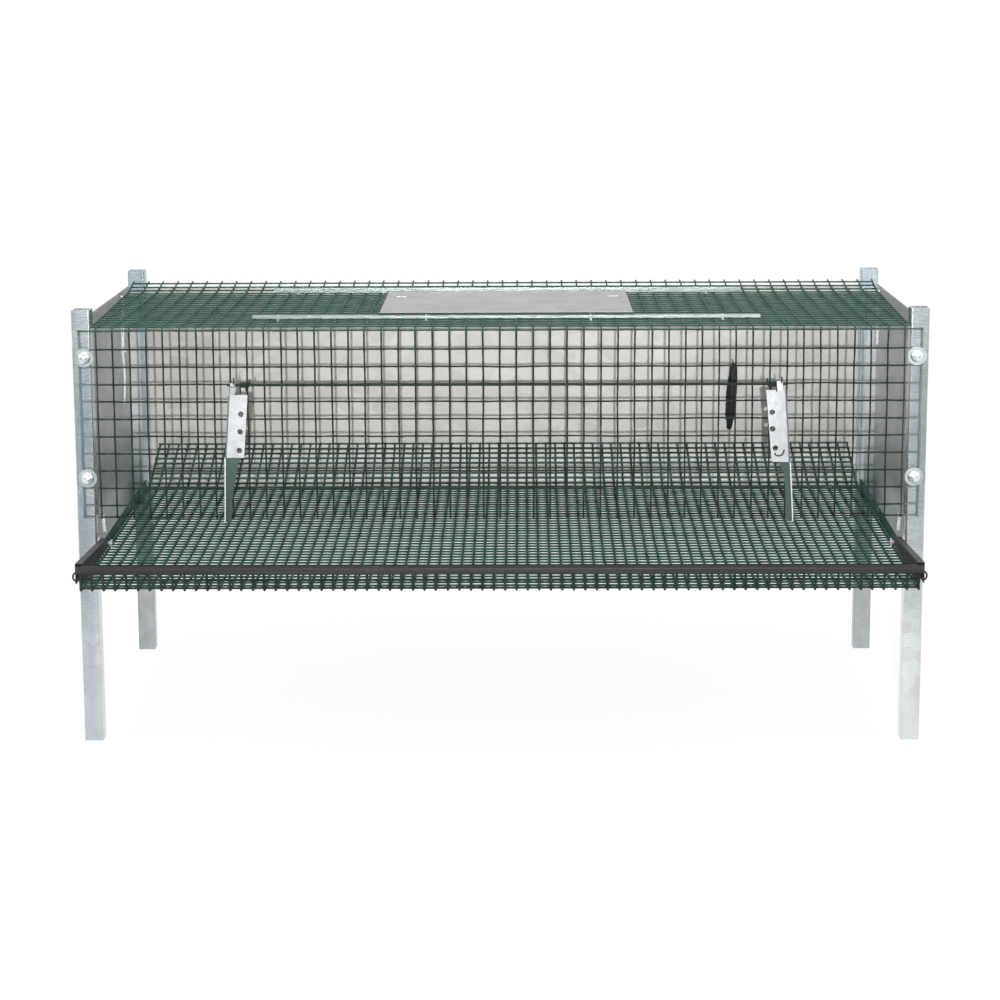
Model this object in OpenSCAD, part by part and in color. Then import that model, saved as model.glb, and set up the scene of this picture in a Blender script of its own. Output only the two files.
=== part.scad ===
// Quail cage on four square-tube legs: welded mesh walls, sheet sides, a mesh floor that
// runs out under the front wall as an egg tray, and a door that slides along the top.

/* [Frame] */
// Width across the outer faces of the posts
cage_w = 1000; // [700:10:1400]
// Depth between the outer faces of the front and rear posts
cage_d = 440; // [380:5:640]
// Height of the posts
post_h = 520; // [470:5:700]
// Side of the square tube
post_s = 22; // [20:0.5:28]
// Wall of the square tube
post_wall = 1.5; // [1:0.1:2.5]
// Outer corner radius of the square tube
post_corner_r = 2; // [1.8:0.1:3]

/* [Wall mesh] */
// Diameter of the coated wire of the front and top walls
mesh_wire = 2; // [1.4:0.1:2.4]
// Longer side of a mesh cell
cell_long = 20.6; // [16:0.2:30]
// Shorter side of a mesh cell
cell_short = 19.6; // [16:0.2:30]
// Distance of the outermost front wires from the outer faces of the posts
mesh_inset = 9; // [8:0.5:11]
// Drop from the post tops to the top wall
top_drop = 19.5; // [14:0.5:30]
// Height of the front wall below the top
front_h = 225; // [190:5:300]
// Bend radius of the wires between the front and top walls
bend_r = 5; // [4:0.5:9]
// Height of the top mesh's upturned rear edge
rear_upturn = 8; // [7:0.5:30]

/* [Sheet panels] */
// Sheet thickness of the side and rear panels
panel_t = 0.8; // [0.6:0.1:1.5]
// Height of the rear panel
rear_panel_h = 273; // [255:1:290]
// Height of the side panels
panel_h = 300; // [260:2:330]
// Width of the flange that shows in front of a rear post
rear_flange_w = 13.5; // [10:0.5:18]
// Height of the folded hem along the top edge
hem_h = 8; // [5:0.5:12]

/* [Floor and egg tray] */
// Reach of the tray in front of the posts
tray_out_l = 180; // [120:5:240]
// Distance of the floor's outermost wires from the outer faces of the posts
floor_inset = 34; // [30:0.5:60]
// Wire diameter of the floor
floor_wire = 2.2; // [1.2:0.1:2.4]
// Side of a floor cell
floor_cell = 12.7; // [10:0.1:20]
// Height of the floor at the front fold
floor_front_z = 230; // [150:5:300]
// Rise of the floor from the front fold to the rear crease
floor_rise = 12; // [4:1:40]
// Depth of the upturned flap behind the crease
flap_run = 113; // [80:1:150]
// Rise of the upturned flap
flap_rise = 39; // [20:1:50]
// Height of the front lip
front_lip_h = 26; // [20:1:40]
// Height of the side lips between the posts
side_lip_h = 13; // [11:0.5:20]
// Height of the edging strip
edging_h = 9; // [7:0.5:12]
// Wall of the edging strip
edging_wall = 1.2; // [0.8:0.1:2]

/* [Feeder brackets] */
// Place of the left bracket from the middle, as a share of the cage's width
bracket_left_share = -0.308; // [-0.4:0.001:-0.2]
// Place of the right bracket from the middle, as a share of the cage's width
bracket_right_share = 0.324; // [0.2:0.001:0.4]
// Width of a bracket plate
bracket_w = 20.5; // [16:0.5:26]
// Length of the drilled upper plate
bracket_plate_h = 77; // [75:1:85]
// Length of the narrow lower tongue
bracket_tongue_h = 83; // [81:1:90]
// Width of the tongue
tongue_w = 9.5; // [6:0.5:14]
// Sheet thickness of a bracket
bracket_t = 1.2; // [0.8:0.1:2]
// How far the elbow between plate and tongue stands forward
elbow_out = 6; // [3:0.5:12]
// Outward lean of a bracket in degrees
bracket_lean = 4; // [0:0.5:5]
// Diameter of the adjustment holes
adjust_hole_d = 5; // [3:0.5:7]
// Diameter of the rod that the brackets hang on
rod_d = 3.4; // [2.6:0.2:5]

/* [Sliding door] */
// Width of the door along its slide
door_w = 306; // [240:2:340]
// Sheet thickness of the door
door_t = 1; // [0.6:0.1:1.5]
// Length of the two rails
rail_l = 606; // [500:2:700]
// Distance of the door and rails from the middle of the cage, to the right
rail_x = 7; // [-20:1:20]
// Distance of the front rail from the posts' front faces
rail_inset = 70; // [50:1:90]
// Distance between the two rails, which follows whole mesh cells
rail_span = 268; // [200:1:280]
// Width of the rail flange over the door
rail_flange = 9; // [8:0.5:20]
// Sheet thickness of the rails
rail_t = 0.8; // [0.6:0.1:1.2]
// Width of the hatch cut in the top mesh
hatch_w = 280; // [180:2:300]

/* [Fasteners] */
// Height of the upper bolts below the post tops
bolt_drop = 55; // [48:1:70]
// Distance between the upper and lower bolts
bolt_pitch = 143; // [110:1:160]
// Distance of the bolts from the outer faces of the posts
bolt_inset = 14.8; // [13.5:0.1:16]
// Shank diameter of the bolts
bolt_d = 6; // [4:0.5:7]
// Diameter of the domed bolt heads
bolt_head_d = 16; // [10:0.5:17]
// Height of the domed bolt heads
bolt_head_h = 5; // [3:0.5:7]
// Diameter of the large washers
washer_d = 22; // [16:0.5:26]
// Thickness of the washers
washer_t = 1.5; // [1:0.1:2.5]
// Width across the flats of the nuts
nut_af = 10; // [8:0.5:12]
// Thickness of the nuts
nut_t = 5; // [3:0.5:7]
// Shank diameter of the pegs that carry the tray lips
peg_d = 5; // [3:0.5:6]

/* [Drinker clip] */
// Place of the clip on the rear panel from the middle, as a share of the cage's width
clip_x_share = 0.316; // [0.1:0.001:0.4]
// Height of the middle of the clip
clip_z = 347; // [330:1:380]
// Length of the clip
clip_l = 92; // [60:1:110]
// Greatest diameter of the clip
clip_d = 11; // [8:0.5:14]

/* [Hidden] */

$fn = 32;
// Gap between a wire and the piece that it rests on
seat_gap = 0.3;
// Gap between the two layers of a welded mesh
weld_gap = 0.45;
// Clearance around shanks, in slots and beside sliding sheets
slip = 0.3;
// Overrun of every cut
over = 1;
// Length of a wire end past the last wire that it crosses
stub = 1.5;
// Gap between two wires that meet at a fold
fold_gap = 0.35;

// Places of the frame, with the whole part centred front to back
front_y = (tray_out_l - cage_d - panel_t) / 2;
rear_y = front_y + cage_d - post_s;
post_x = (cage_w - post_s) / 2;
post_inner_x = cage_w / 2 - post_s;
rear_panel_y = front_y + cage_d;

// Wall mesh: cross wires lie inside, long wires outside
mesh_r = mesh_wire / 2;
layer = mesh_wire + weld_gap;
mesh_half = cage_w / 2 - mesh_inset;
front_row_y = front_y - seat_gap - mesh_r;
front_col_y = front_row_y - layer;
front_face_y = front_col_y - mesh_r;
top_z = post_h - top_drop - mesh_r;
top_row_z = top_z - layer;
cols = round(2 * mesh_half / cell_short);
col_pitch = 2 * mesh_half / cols;
front_bottom_z = top_z - front_h;
front_first_z = top_z - bend_r;
free_half = post_inner_x - seat_gap;
min_cell_share = 0.4;
front_rows = floor((front_first_z - front_bottom_z) / cell_long - min_cell_share);

// Top wall rows start where the front rail falls in the middle of a cell
top_start_y = front_col_y + bend_r;
top_leg_y = rear_y - seat_gap - mesh_r - layer;
top_end_y = top_leg_y - bend_r;
top_first_y = front_y + rail_inset - (floor(rail_inset / cell_long - 1 / 2) + 1 / 2) * cell_long;
top_rows = floor((top_end_y - mesh_wire - top_first_y) / cell_long);
rail_cells = round(rail_span / cell_long);
rail_front_y = front_y + rail_inset;
rail_rear_y = rail_front_y + rail_cells * cell_long;

// Hatch in the top mesh, bounded by whole wires
hatch_cols = 2 * floor(hatch_w / col_pitch / 2) + (cols % 2);
hatch_col_0 = (cols - hatch_cols) / 2;
hatch_col_1 = hatch_col_0 + hatch_cols;
hatch_row_0 = ceil((rail_front_y + rail_flange - top_first_y) / cell_long);
hatch_row_1 = floor((rail_rear_y - rail_flange - top_first_y) / cell_long);

// Rear panel on the outer faces of the rear posts
rear_panel_top_z = top_row_z - mesh_r - seat_gap;

// Side panel: front flange behind the front post, rear flange before the rear post
panel_top_z = top_z + mesh_r;
panel_bottom_z = panel_top_z - panel_h;
panel_front_y = front_y + post_s;
panel_rear_y = rear_y;
front_flange_w = post_s - post_corner_r;
flange_top_z = panel_top_z - hem_h;

// Floor: long wires below, cross wires above
floor_r = floor_wire / 2;
floor_layer = floor_wire + weld_gap;
floor_w = cage_w - 2 * floor_inset;
floor_half = floor_w / 2;
edging_slot = 2 * floor_wire + weld_gap + 2 * slip;
edging_t = edging_slot + 2 * edging_wall;
lip_y = front_y - tray_out_l + edging_t / 2 - floor_layer / 2;
flap_end_y = rear_panel_y - seat_gap - floor_r;
crease_y = flap_end_y - flap_run;
crease_z = floor_front_z + floor_rise;
floor_angle = atan2(floor_rise, crease_y - lip_y);
floor_l = norm([crease_y - lip_y, floor_rise]);
floor_rows = round(floor_l / floor_cell);
floor_pitch = floor_l / floor_rows;
floor_cols = round(floor_w / floor_cell);
floor_col_pitch = floor_w / floor_cols;
flap_angle = atan2(flap_rise, flap_run);
flap_l = norm([flap_run, flap_rise]);
flap_rows = round(flap_l / floor_cell);
flap_pitch = flap_l / flap_rows;
floor_post_s = (front_y - lip_y) / cos(floor_angle);
side_lip_x = floor_half + floor_r + seat_gap;
lip_rail_x = side_lip_x + floor_layer;
lip_rail_h = side_lip_h - floor_wire;
edging_half = lip_rail_x + floor_r;
tray_wire_drop = floor_wire;

// Pegs in the front posts, between two upright wires of a side lip
peg_row = floor((front_y + post_s / 2 - lip_y) / cos(floor_angle) / floor_pitch) + 1 / 2;
peg_y = lip_y + peg_row * floor_pitch * cos(floor_angle);
peg_head_d = 2 * peg_d;
peg_head_t = peg_d / 2;
peg_z = floor_z(peg_row * floor_pitch) + lip_rail_h - floor_r - seat_gap - peg_d / 2;

// Feeder rod and brackets, in front of the front mesh
bracket_left_x = bracket_left_share * cage_w;
bracket_right_x = bracket_right_share * cage_w;
rod_row = 3;
rod_z = front_first_z - rod_row * cell_long;
rod_y = front_face_y - seat_gap - rod_d / 2;
hook_inner_r = rod_d / 2 + 2 * slip;
hook_outer_r = hook_inner_r + bracket_t;
hook_w = bracket_w / 4;
plate_top = -hook_outer_r;
plate_y = -hook_inner_r;
bracket_lip = 4 * bracket_t;
adjust_hole_shares = [0.3, 0.57, 0.86];
adjust_hole_inset_share = 0.32;
tongue_taper_share = 0.32;
tongue_top_share = 0.7;
foot_l = 2 * mesh_wire + weld_gap;

// Door and rails: two channels on the top mesh with the door's edges in them
rail_z = top_z + mesh_r + seat_gap;
rail_gap = door_t + 2 * slip;
rail_h = rail_gap + 2 * rail_t;
door_z = rail_z + rail_t + slip;
door_front_y = rail_front_y + rail_t + 2 * slip;
door_rear_y = rail_rear_y - rail_t - 2 * slip;
door_d = door_rear_y - door_front_y;
ridge_w = door_w / 22;
ridge_d = 3 * door_t;
ridge_x_share = 0.44;
ridge_y_share = 0.24;
rail_clip_shares = [-0.44, -0.16, 0.16, 0.44];
rail_clip_w = 3 * rail_t;

// Fasteners
bolt_x = cage_w / 2 - bolt_inset;
bolt_z = [post_h - bolt_drop, post_h - bolt_drop - bolt_pitch];
washer_y = front_face_y - seat_gap;
head_y = washer_y - washer_t;
nut_y = panel_front_y + panel_t;
clip_x = clip_x_share * cage_w;
bolt_end_y = nut_y + nut_t + bolt_d / 4;
dome_r = (pow(bolt_head_d / 2, 2) + pow(bolt_head_h, 2)) / (2 * bolt_head_h);

zinc = "#a9b4b8";
bright_zinc = "#d9dfe1";
green = "#2f5a4a";
dark_trim = "#3c3733";

// Height of the floor's long wires at a distance s from the front fold
function floor_z(s) = floor_front_z + s * sin(floor_angle);
// Point of the floor plane at a distance s from the front fold, up by h
function floor_point(s, h = 0) = [
    lip_y + s * cos(floor_angle) - h * sin(floor_angle),
    floor_front_z + s * sin(floor_angle) + h * cos(floor_angle)
];
// Height of a side lip: full at the front, down to the post line, then level
function lip_height(s) = s >= floor_post_s ? side_lip_h
    : front_lip_h + (side_lip_h - front_lip_h) * s / floor_post_s;
// Middle of the mesh column nearest to x
function cell_middle(x) =
    -mesh_half + (floor((x + mesh_half) / col_pitch) + 1 / 2) * col_pitch;

module wire_x(x0, x1, d) {
    translate([x0, 0, 0]) rotate([0, 90, 0]) cylinder(d = d, h = x1 - x0);
}

// Straight wire in a plane across the cage, from [y, z] to [y, z]
module wire_yz(from, to, d) {
    run = to - from;
    translate([0, from[0], from[1]])
        rotate([-atan2(run[0], run[1]), 0, 0]) cylinder(d = d, h = norm(run));
}

module post(x_side, y) {
    color(zinc) translate([x_side * post_x, y + post_s / 2, 0]) linear_extrude(post_h)
        difference() {
            tube_outline(post_s, post_corner_r);
            tube_outline(post_s - 2 * post_wall, post_corner_r - post_wall / 2);
        }
}

// Square with true round corners
module tube_outline(s, r) {
    square([s, s - 2 * r], center = true);
    square([s - 2 * r, s], center = true);
    for (x = [-1, 1], y = [-1, 1]) translate([x, y] * (s / 2 - r)) circle(r);
}

module front_post(x_side) {
    difference() {
        post(x_side, front_y);
        for (z = bolt_z)
            translate([x_side * bolt_x, front_y - over, z]) rotate([-90, 0, 0])
                cylinder(d = bolt_d + 2 * slip, h = post_s + 2 * over);
        translate([x_side * (post_inner_x - over), peg_y, peg_z])
            rotate([0, x_side * 90, 0])
                cylinder(d = peg_d + 2 * slip, h = post_s / 2 + over);
    }
}

module front_left_post() { front_post(-1); }
module front_right_post() { front_post(1); }
module rear_left_post() { post(-1, rear_y); }
module rear_right_post() { post(1, rear_y); }

// Sheet with a flange at each end and a hem folded over inside its top edge
module side_panel(x_side) {
    outer_x = cage_w / 2;
    run = panel_rear_y - panel_front_y;
    color(zinc) mirror([x_side < 0 ? 1 : 0, 0, 0]) difference() {
        union() {
            translate([0, 0, panel_bottom_z]) linear_extrude(flange_top_z - panel_bottom_z) polygon([
                [outer_x, panel_front_y], [outer_x, panel_rear_y],
                [outer_x - rear_flange_w, panel_rear_y],
                [outer_x - rear_flange_w, panel_rear_y - panel_t],
                [outer_x - panel_t, panel_rear_y - panel_t],
                [outer_x - panel_t, panel_front_y + panel_t],
                [outer_x - front_flange_w, panel_front_y + panel_t],
                [outer_x - front_flange_w, panel_front_y]
            ]);
            translate([outer_x - 2 * panel_t, panel_front_y, flange_top_z])
                cube([2 * panel_t, run, hem_h]);
        }
        for (z = bolt_z)
            translate([bolt_x, panel_front_y - over, z]) rotate([-90, 0, 0])
                cylinder(d = bolt_d + 2 * slip, h = panel_t + 2 * over);
    }
}

module left_side_panel() { side_panel(-1); }
module right_side_panel() { side_panel(1); }

module rear_panel() {
    color(zinc) translate([-cage_w / 2, rear_panel_y, rear_panel_top_z - rear_panel_h])
        cube([cage_w, panel_t, rear_panel_h]);
}

// Quarter bend from the front of a centre up to its top
module quarter_bend() {
    rotate([90, 0, -90]) rotate_extrude(angle = 90) translate([bend_r, 0]) circle(d = mesh_wire);
}

// Front wall; its outermost wires end at the posts, the others bend over into the top
module front_mesh() {
    color(green) {
        for (i = [0:cols]) {
            x = -mesh_half + i * col_pitch;
            translate([x, 0, 0]) {
                wire_yz([front_col_y, front_bottom_z - stub], [front_col_y, front_first_z], mesh_wire);
                if (abs(x) + mesh_r < free_half)
                    translate([0, front_col_y + bend_r, front_first_z]) quarter_bend();
            }
        }
        for (z = concat([front_bottom_z], [for (k = [0:front_rows]) front_first_z - k * cell_long]))
            translate([0, front_row_y, z]) wire_x(-mesh_half - stub, mesh_half + stub, mesh_wire);
    }
}

// Top wall with a hatch, turned up before the rear posts
module top_mesh() {
    hatch_y0 = top_first_y + hatch_row_0 * cell_long;
    hatch_y1 = top_first_y + hatch_row_1 * cell_long;
    hatch_x0 = -mesh_half + hatch_col_0 * col_pitch;
    hatch_x1 = -mesh_half + hatch_col_1 * col_pitch;
    color(green) {
        for (i = [0:cols]) {
            x = -mesh_half + i * col_pitch;
            start_y = abs(x) + mesh_r < free_half ? top_start_y : panel_front_y + seat_gap;
            translate([x, 0, 0]) {
                if (i > hatch_col_0 && i < hatch_col_1) {
                    wire_yz([start_y, top_z], [hatch_y0 + mesh_r + stub, top_z], mesh_wire);
                    wire_yz([hatch_y1 - mesh_r - stub, top_z], [top_end_y, top_z], mesh_wire);
                } else {
                    wire_yz([start_y, top_z], [top_end_y, top_z], mesh_wire);
                }
                translate([0, top_end_y, top_z + bend_r]) rotate([180, 0, 0]) quarter_bend();
                wire_yz([top_leg_y, top_z + bend_r], [top_leg_y, top_z + rear_upturn], mesh_wire);
            }
        }
        for (j = [0:top_rows]) {
            y = top_first_y + j * cell_long;
            half = y - mesh_r - seat_gap < panel_front_y ? free_half : mesh_half + stub;
            translate([0, y, top_row_z]) {
                if (j > hatch_row_0 && j < hatch_row_1) {
                    wire_x(-half, hatch_x0 + mesh_r + stub, mesh_wire);
                    wire_x(hatch_x1 - mesh_r - stub, half, mesh_wire);
                } else {
                    wire_x(-half, half, mesh_wire);
                }
            }
        }
        translate([0, top_leg_y + layer, top_z + bend_r])
            wire_x(-mesh_half - stub, mesh_half + stub, mesh_wire);
    }
}

// Sloping floor from the front fold to the rear crease
module floor_mesh() {
    color(green) {
        for (i = [0:floor_cols]) translate([-floor_half + i * floor_col_pitch, 0, 0])
            wire_yz(floor_point(floor_r + fold_gap), floor_point(floor_l - fold_gap), floor_wire);
        for (k = [1:floor_rows - 1]) {
            p = floor_point(k * floor_pitch, floor_layer);
            translate([0, p[0], p[1]]) wire_x(-floor_half, floor_half, floor_wire);
        }
    }
}

// Flap that turns the floor up to the rear wall
module floor_rear_flap() {
    run = [cos(flap_angle), sin(flap_angle)];
    normal = [-sin(flap_angle), cos(flap_angle)];
    crease = [crease_y, crease_z];
    color(green) {
        for (i = [0:floor_cols]) translate([-floor_half + i * floor_col_pitch, 0, 0])
            wire_yz(crease + run * fold_gap, crease + run * flap_l, floor_wire);
        for (k = [1:flap_rows]) {
            p = crease + run * (k * flap_pitch - floor_wire) + normal * floor_layer;
            translate([0, p[0], p[1]]) wire_x(-floor_half, floor_half, floor_wire);
        }
    }
}

// Upturned front edge of the tray
module tray_front_lip() {
    lip_rows = floor((front_lip_h - floor_wire) / floor_cell);
    color(green) {
        for (i = [0:floor_cols]) translate([-floor_half + i * floor_col_pitch, 0, 0])
            wire_yz([lip_y, floor_front_z - floor_r], [lip_y, floor_front_z + front_lip_h], floor_wire);
        for (z = concat([floor_layer], [for (k = [1:lip_rows]) k * floor_cell - floor_r]))
            translate([0, lip_y + floor_layer, floor_front_z + z])
                wire_x(-floor_half, floor_half, floor_wire);
    }
}

// Upturned side edge: upright wires inside, rail wires outside
module side_lip(x_side) {
    rise = floor_layer + floor_r;
    start = (floor_layer + edging_t) / 2 + seat_gap + floor_r;
    color(green) {
        for (k = [1:floor_rows - 1]) {
            p = floor_point(k * floor_pitch);
            foot = floor_r + seat_gap;
            translate([x_side * side_lip_x, 0, 0])
                wire_yz([p[0], p[1] + foot], [p[0], p[1] + lip_height(k * floor_pitch)], floor_wire);
        }
        translate([x_side * lip_rail_x, 0, 0]) {
            wire_yz(floor_point(floor_post_s + fold_gap, lip_rail_h),
                floor_point(floor_l - fold_gap, lip_rail_h), floor_wire);
            wire_yz(floor_point(start, front_lip_h - rise),
                floor_point(floor_post_s - fold_gap, lip_rail_h), floor_wire);
        }
    }
}

module left_floor_lip() { side_lip(-1); }
module right_floor_lip() { side_lip(1); }

// Channel section, open downwards, with its slot centred on the origin and its top at zero
module edging_outline() {
    difference() {
        translate([-edging_t / 2, -edging_h]) square([edging_t, edging_h]);
        translate([-edging_slot / 2, -edging_h - over])
            square([edging_slot, edging_h + over - edging_wall]);
    }
}

module front_edging() {
    top = floor_front_z + front_lip_h + seat_gap + edging_wall;
    color(dark_trim) translate([-edging_half, lip_y + floor_layer / 2, top])
        rotate([90, 0, 90]) linear_extrude(2 * edging_half) edging_outline();
}

// Tapered cheek folded over the side lip, from the front edging back to the post
module side_edging(x_side) {
    lift = seat_gap + edging_wall;
    sit = floor_layer + floor_r + seat_gap;
    front = lip_y + floor_layer / 2 + edging_t / 2 + slip;
    rear = front_y - slip;
    front_s = (front - lip_y) / cos(floor_angle);
    foot = [[front, floor_z(front_s) + sit], [rear, floor_z(floor_post_s) + sit]];
    crest = [[rear, floor_z(floor_post_s) + side_lip_h + lift], [front, floor_front_z + front_lip_h + lift]];
    drop = [0, edging_wall];
    past = [over, 0];
    color(dark_trim) translate([x_side * (side_lip_x + lip_rail_x) / 2, 0, 0]) rotate([90, 0, 90])
        difference() {
            linear_extrude(edging_t, center = true) polygon(concat(foot, crest));
            linear_extrude(edging_slot, center = true) polygon([
                foot[0] - past - [0, over], foot[1] + past - [0, over],
                crest[0] + past - drop, crest[1] - past - drop
            ]);
        }
}

module left_edging() { side_edging(-1); }
module right_edging() { side_edging(1); }

// Folded side profile of a bracket in [y, z] from the rod down, of a given thickness
module bracket_profile(t) {
    elbow_z = plate_top - bracket_plate_h;
    end_z = elbow_z - bracket_tongue_h;
    back = [[plate_y, 0], [plate_y, plate_top], [plate_y - elbow_out, elbow_z], [plate_y, end_z]];
    front = [for (i = [len(back) - 1:-1:0]) back[i] - [t, 0]];
    polygon(concat(back, front));
}

// Face outline of a bracket in [x, z]: drilled plate above, narrow tongue below, outer edge at +x
module bracket_outline() {
    half = bracket_w / 2;
    elbow_z = plate_top - bracket_plate_h;
    taper_z = elbow_z - tongue_taper_share * bracket_tongue_h;
    polygon([
        [half, plate_top], [-half, plate_top], [-half, elbow_z],
        [half - tongue_top_share * bracket_w, elbow_z], [half - tongue_w, taper_z],
        [half - tongue_w, elbow_z - bracket_tongue_h], [half, elbow_z - bracket_tongue_h]
    ]);
}

// Bracket hooked over the rod, with its outer edge folded forward and a foot under the front mesh
module feeder_bracket(x, x_side) {
    half = bracket_w / 2;
    hook_x = x_side * (cell_middle(x) - x);
    end_z = plate_top - bracket_plate_h - bracket_tongue_h;
    color(bright_zinc) translate([x, rod_y, rod_z]) mirror([x_side < 0 ? 1 : 0, 0, 0])
        rotate([0, -bracket_lean, 0]) difference() {
            union() {
                intersection() {
                    translate([-half, 0, 0]) rotate([90, 0, 90])
                        linear_extrude(bracket_w) bracket_profile(bracket_t);
                    translate([0, elbow_out, 0]) rotate([90, 0, 0])
                        linear_extrude(4 * elbow_out + hook_outer_r) bracket_outline();
                }
                translate([half - bracket_t, 0, 0]) rotate([90, 0, 90]) linear_extrude(bracket_t)
                    difference() {
                        bracket_profile(bracket_lip);
                        translate([-hook_outer_r - bracket_lip - over, plate_top])
                            square([bracket_lip + hook_outer_r + 2 * over, -plate_top + over]);
                    }
                translate([hook_x - hook_w / 2, 0, 0]) rotate([90, 0, 90]) linear_extrude(hook_w) {
                    difference() {
                        circle(hook_outer_r);
                        circle(hook_inner_r);
                        translate([-2 * hook_outer_r, -2 * hook_outer_r])
                            square([4 * hook_outer_r, 2 * hook_outer_r]);
                    }
                    translate([plate_y - bracket_t, plate_top - bracket_t])
                        square([bracket_t, -plate_top + bracket_t]);
                }
                translate([half - tongue_w, plate_y - bracket_t, end_z])
                    cube([tongue_w, foot_l + bracket_t, bracket_t]);
            }
            for (share = adjust_hole_shares)
                translate([-half + adjust_hole_inset_share * bracket_w, 0,
                        plate_top - share * bracket_plate_h])
                    rotate([90, 0, 0])
                        cylinder(d = adjust_hole_d, h = 4 * elbow_out + hook_outer_r);
        }
}

module left_feeder_bracket() { feeder_bracket(bracket_left_x, -1); }
module right_feeder_bracket() { feeder_bracket(bracket_right_x, 1); }

module feeder_rod() {
    color(green) translate([0, rod_y, rod_z])
        wire_x(bracket_left_x - bracket_w / 2, bracket_right_x + bracket_w / 2, rod_d);
}

// Flat sheet with two pressed finger ridges
module sliding_door() {
    color("#bdbab8") {
        translate([rail_x - door_w / 2, door_front_y, door_z]) cube([door_w, door_d, door_t]);
        for (x = [-1, 1])
            translate([rail_x + x * ridge_x_share * door_w, (door_front_y + door_rear_y) / 2
                    + ridge_y_share * door_d, door_z + door_t / 2])
                translate([-ridge_w / 2, -ridge_d / 2, 0]) cube([ridge_w, ridge_d, 3 / 2 * door_t]);
    }
}

// Channel section of a rail in [y, z], open towards +y
module rail_outline() {
    difference() {
        square([rail_flange, rail_h]);
        translate([rail_t, rail_t]) square([rail_flange, rail_gap]);
    }
}

module front_rail() {
    color(zinc) translate([rail_x - rail_l / 2, rail_front_y, rail_z])
        rotate([90, 0, 90]) linear_extrude(rail_l) rail_outline();
}

module rear_rail() {
    color(zinc) translate([rail_x - rail_l / 2, rail_rear_y, rail_z])
        rotate([90, 0, 90]) linear_extrude(rail_l) mirror([1, 0]) rail_outline();
}

// Clip section in [y, z]: over the rail's top flange, down its web and under the mesh wires
module rail_clip_outline() {
    top = rail_z + rail_h + slip;
    bottom = top_row_z - mesh_r - slip;
    tab = rail_flange / 2;
    difference() {
        translate([-slip - rail_t, bottom - rail_t])
            square([tab + slip + rail_t, top - bottom + 2 * rail_t]);
        translate([-slip, bottom]) square([tab + slip + over, top - bottom]);
    }
}

module rail_clips() {
    color(bright_zinc) for (share = rail_clip_shares) {
        x = cell_middle(rail_x + share * rail_l) - rail_clip_w / 2;
        translate([x, rail_front_y, 0]) rotate([90, 0, 90])
            linear_extrude(rail_clip_w) rail_clip_outline();
        translate([x, rail_rear_y, 0]) rotate([90, 0, 90])
            linear_extrude(rail_clip_w) mirror([1, 0]) rail_clip_outline();
    }
}

module each_bolt() {
    for (x = [-1, 1], z = bolt_z) translate([x * bolt_x, 0, z]) children();
}

// Domed head and shank, through the washer, the mesh, the post and the panel's flange
module front_bolts() {
    color(bright_zinc) each_bolt() {
        translate([0, head_y, 0]) rotate([-90, 0, 0]) cylinder(d = bolt_d, h = bolt_end_y - head_y);
        translate([0, head_y, 0]) rotate([90, 0, 0]) rotate_extrude() intersection() {
            translate([0, bolt_head_h - dome_r]) circle(dome_r);
            square([bolt_head_d, bolt_head_h]);
        }
    }
}

module front_washers() {
    color(bright_zinc) each_bolt() translate([0, washer_y, 0]) rotate([90, 0, 0]) difference() {
        cylinder(d = washer_d, h = washer_t);
        translate([0, 0, -over]) cylinder(d = bolt_d + 2 * slip, h = washer_t + 2 * over);
    }
}

module front_nuts() {
    color(bright_zinc) each_bolt() translate([0, nut_y, 0]) rotate([-90, 0, 0]) difference() {
        cylinder(d = nut_af / cos(30), h = nut_t, $fn = 6);
        translate([0, 0, -over]) cylinder(d = bolt_d + slip, h = nut_t + 2 * over);
    }
}

// Round-headed pegs from the posts' inner faces to under the rail wires of the side lips
module tray_pegs() {
    reach = post_inner_x - side_lip_x + floor_layer + floor_wire;
    color(bright_zinc) for (x_side = [-1, 1])
        translate([x_side * (post_inner_x + 2 * post_wall), peg_y, peg_z])
            rotate([0, -x_side * 90, 0]) {
                cylinder(d = peg_d, h = reach + 2 * post_wall);
                translate([0, 0, reach + 2 * post_wall]) cylinder(d = peg_head_d, h = peg_head_t);
            }
}

// Slim spindle on the inner side of the rear panel
module drinker_clip() {
    bulge_r = (pow(clip_l / 2, 2) + pow(clip_d / 2, 2)) / clip_d;
    end_share = 0.94;
    color(dark_trim)
        translate([clip_x, rear_panel_y - seat_gap - clip_d / 2, clip_z]) rotate_extrude()
            intersection() {
                translate([clip_d / 2 - bulge_r, 0]) circle(bulge_r, $fn = 360);
                translate([0, -end_share * clip_l / 2]) square([clip_d, end_share * clip_l]);
            }
}

front_left_post();
front_right_post();
rear_left_post();
rear_right_post();
left_side_panel();
right_side_panel();
rear_panel();
front_mesh();
top_mesh();
floor_mesh();
floor_rear_flap();
tray_front_lip();
left_floor_lip();
right_floor_lip();
front_edging();
left_edging();
right_edging();
left_feeder_bracket();
right_feeder_bracket();
feeder_rod();
sliding_door();
front_rail();
rear_rail();
rail_clips();
front_bolts();
front_washers();
front_nuts();
tray_pegs();
drinker_clip();
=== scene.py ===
"""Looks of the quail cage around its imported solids."""
import math

import bpy
import numpy as np
from mathutils import Matrix, Vector


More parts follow.
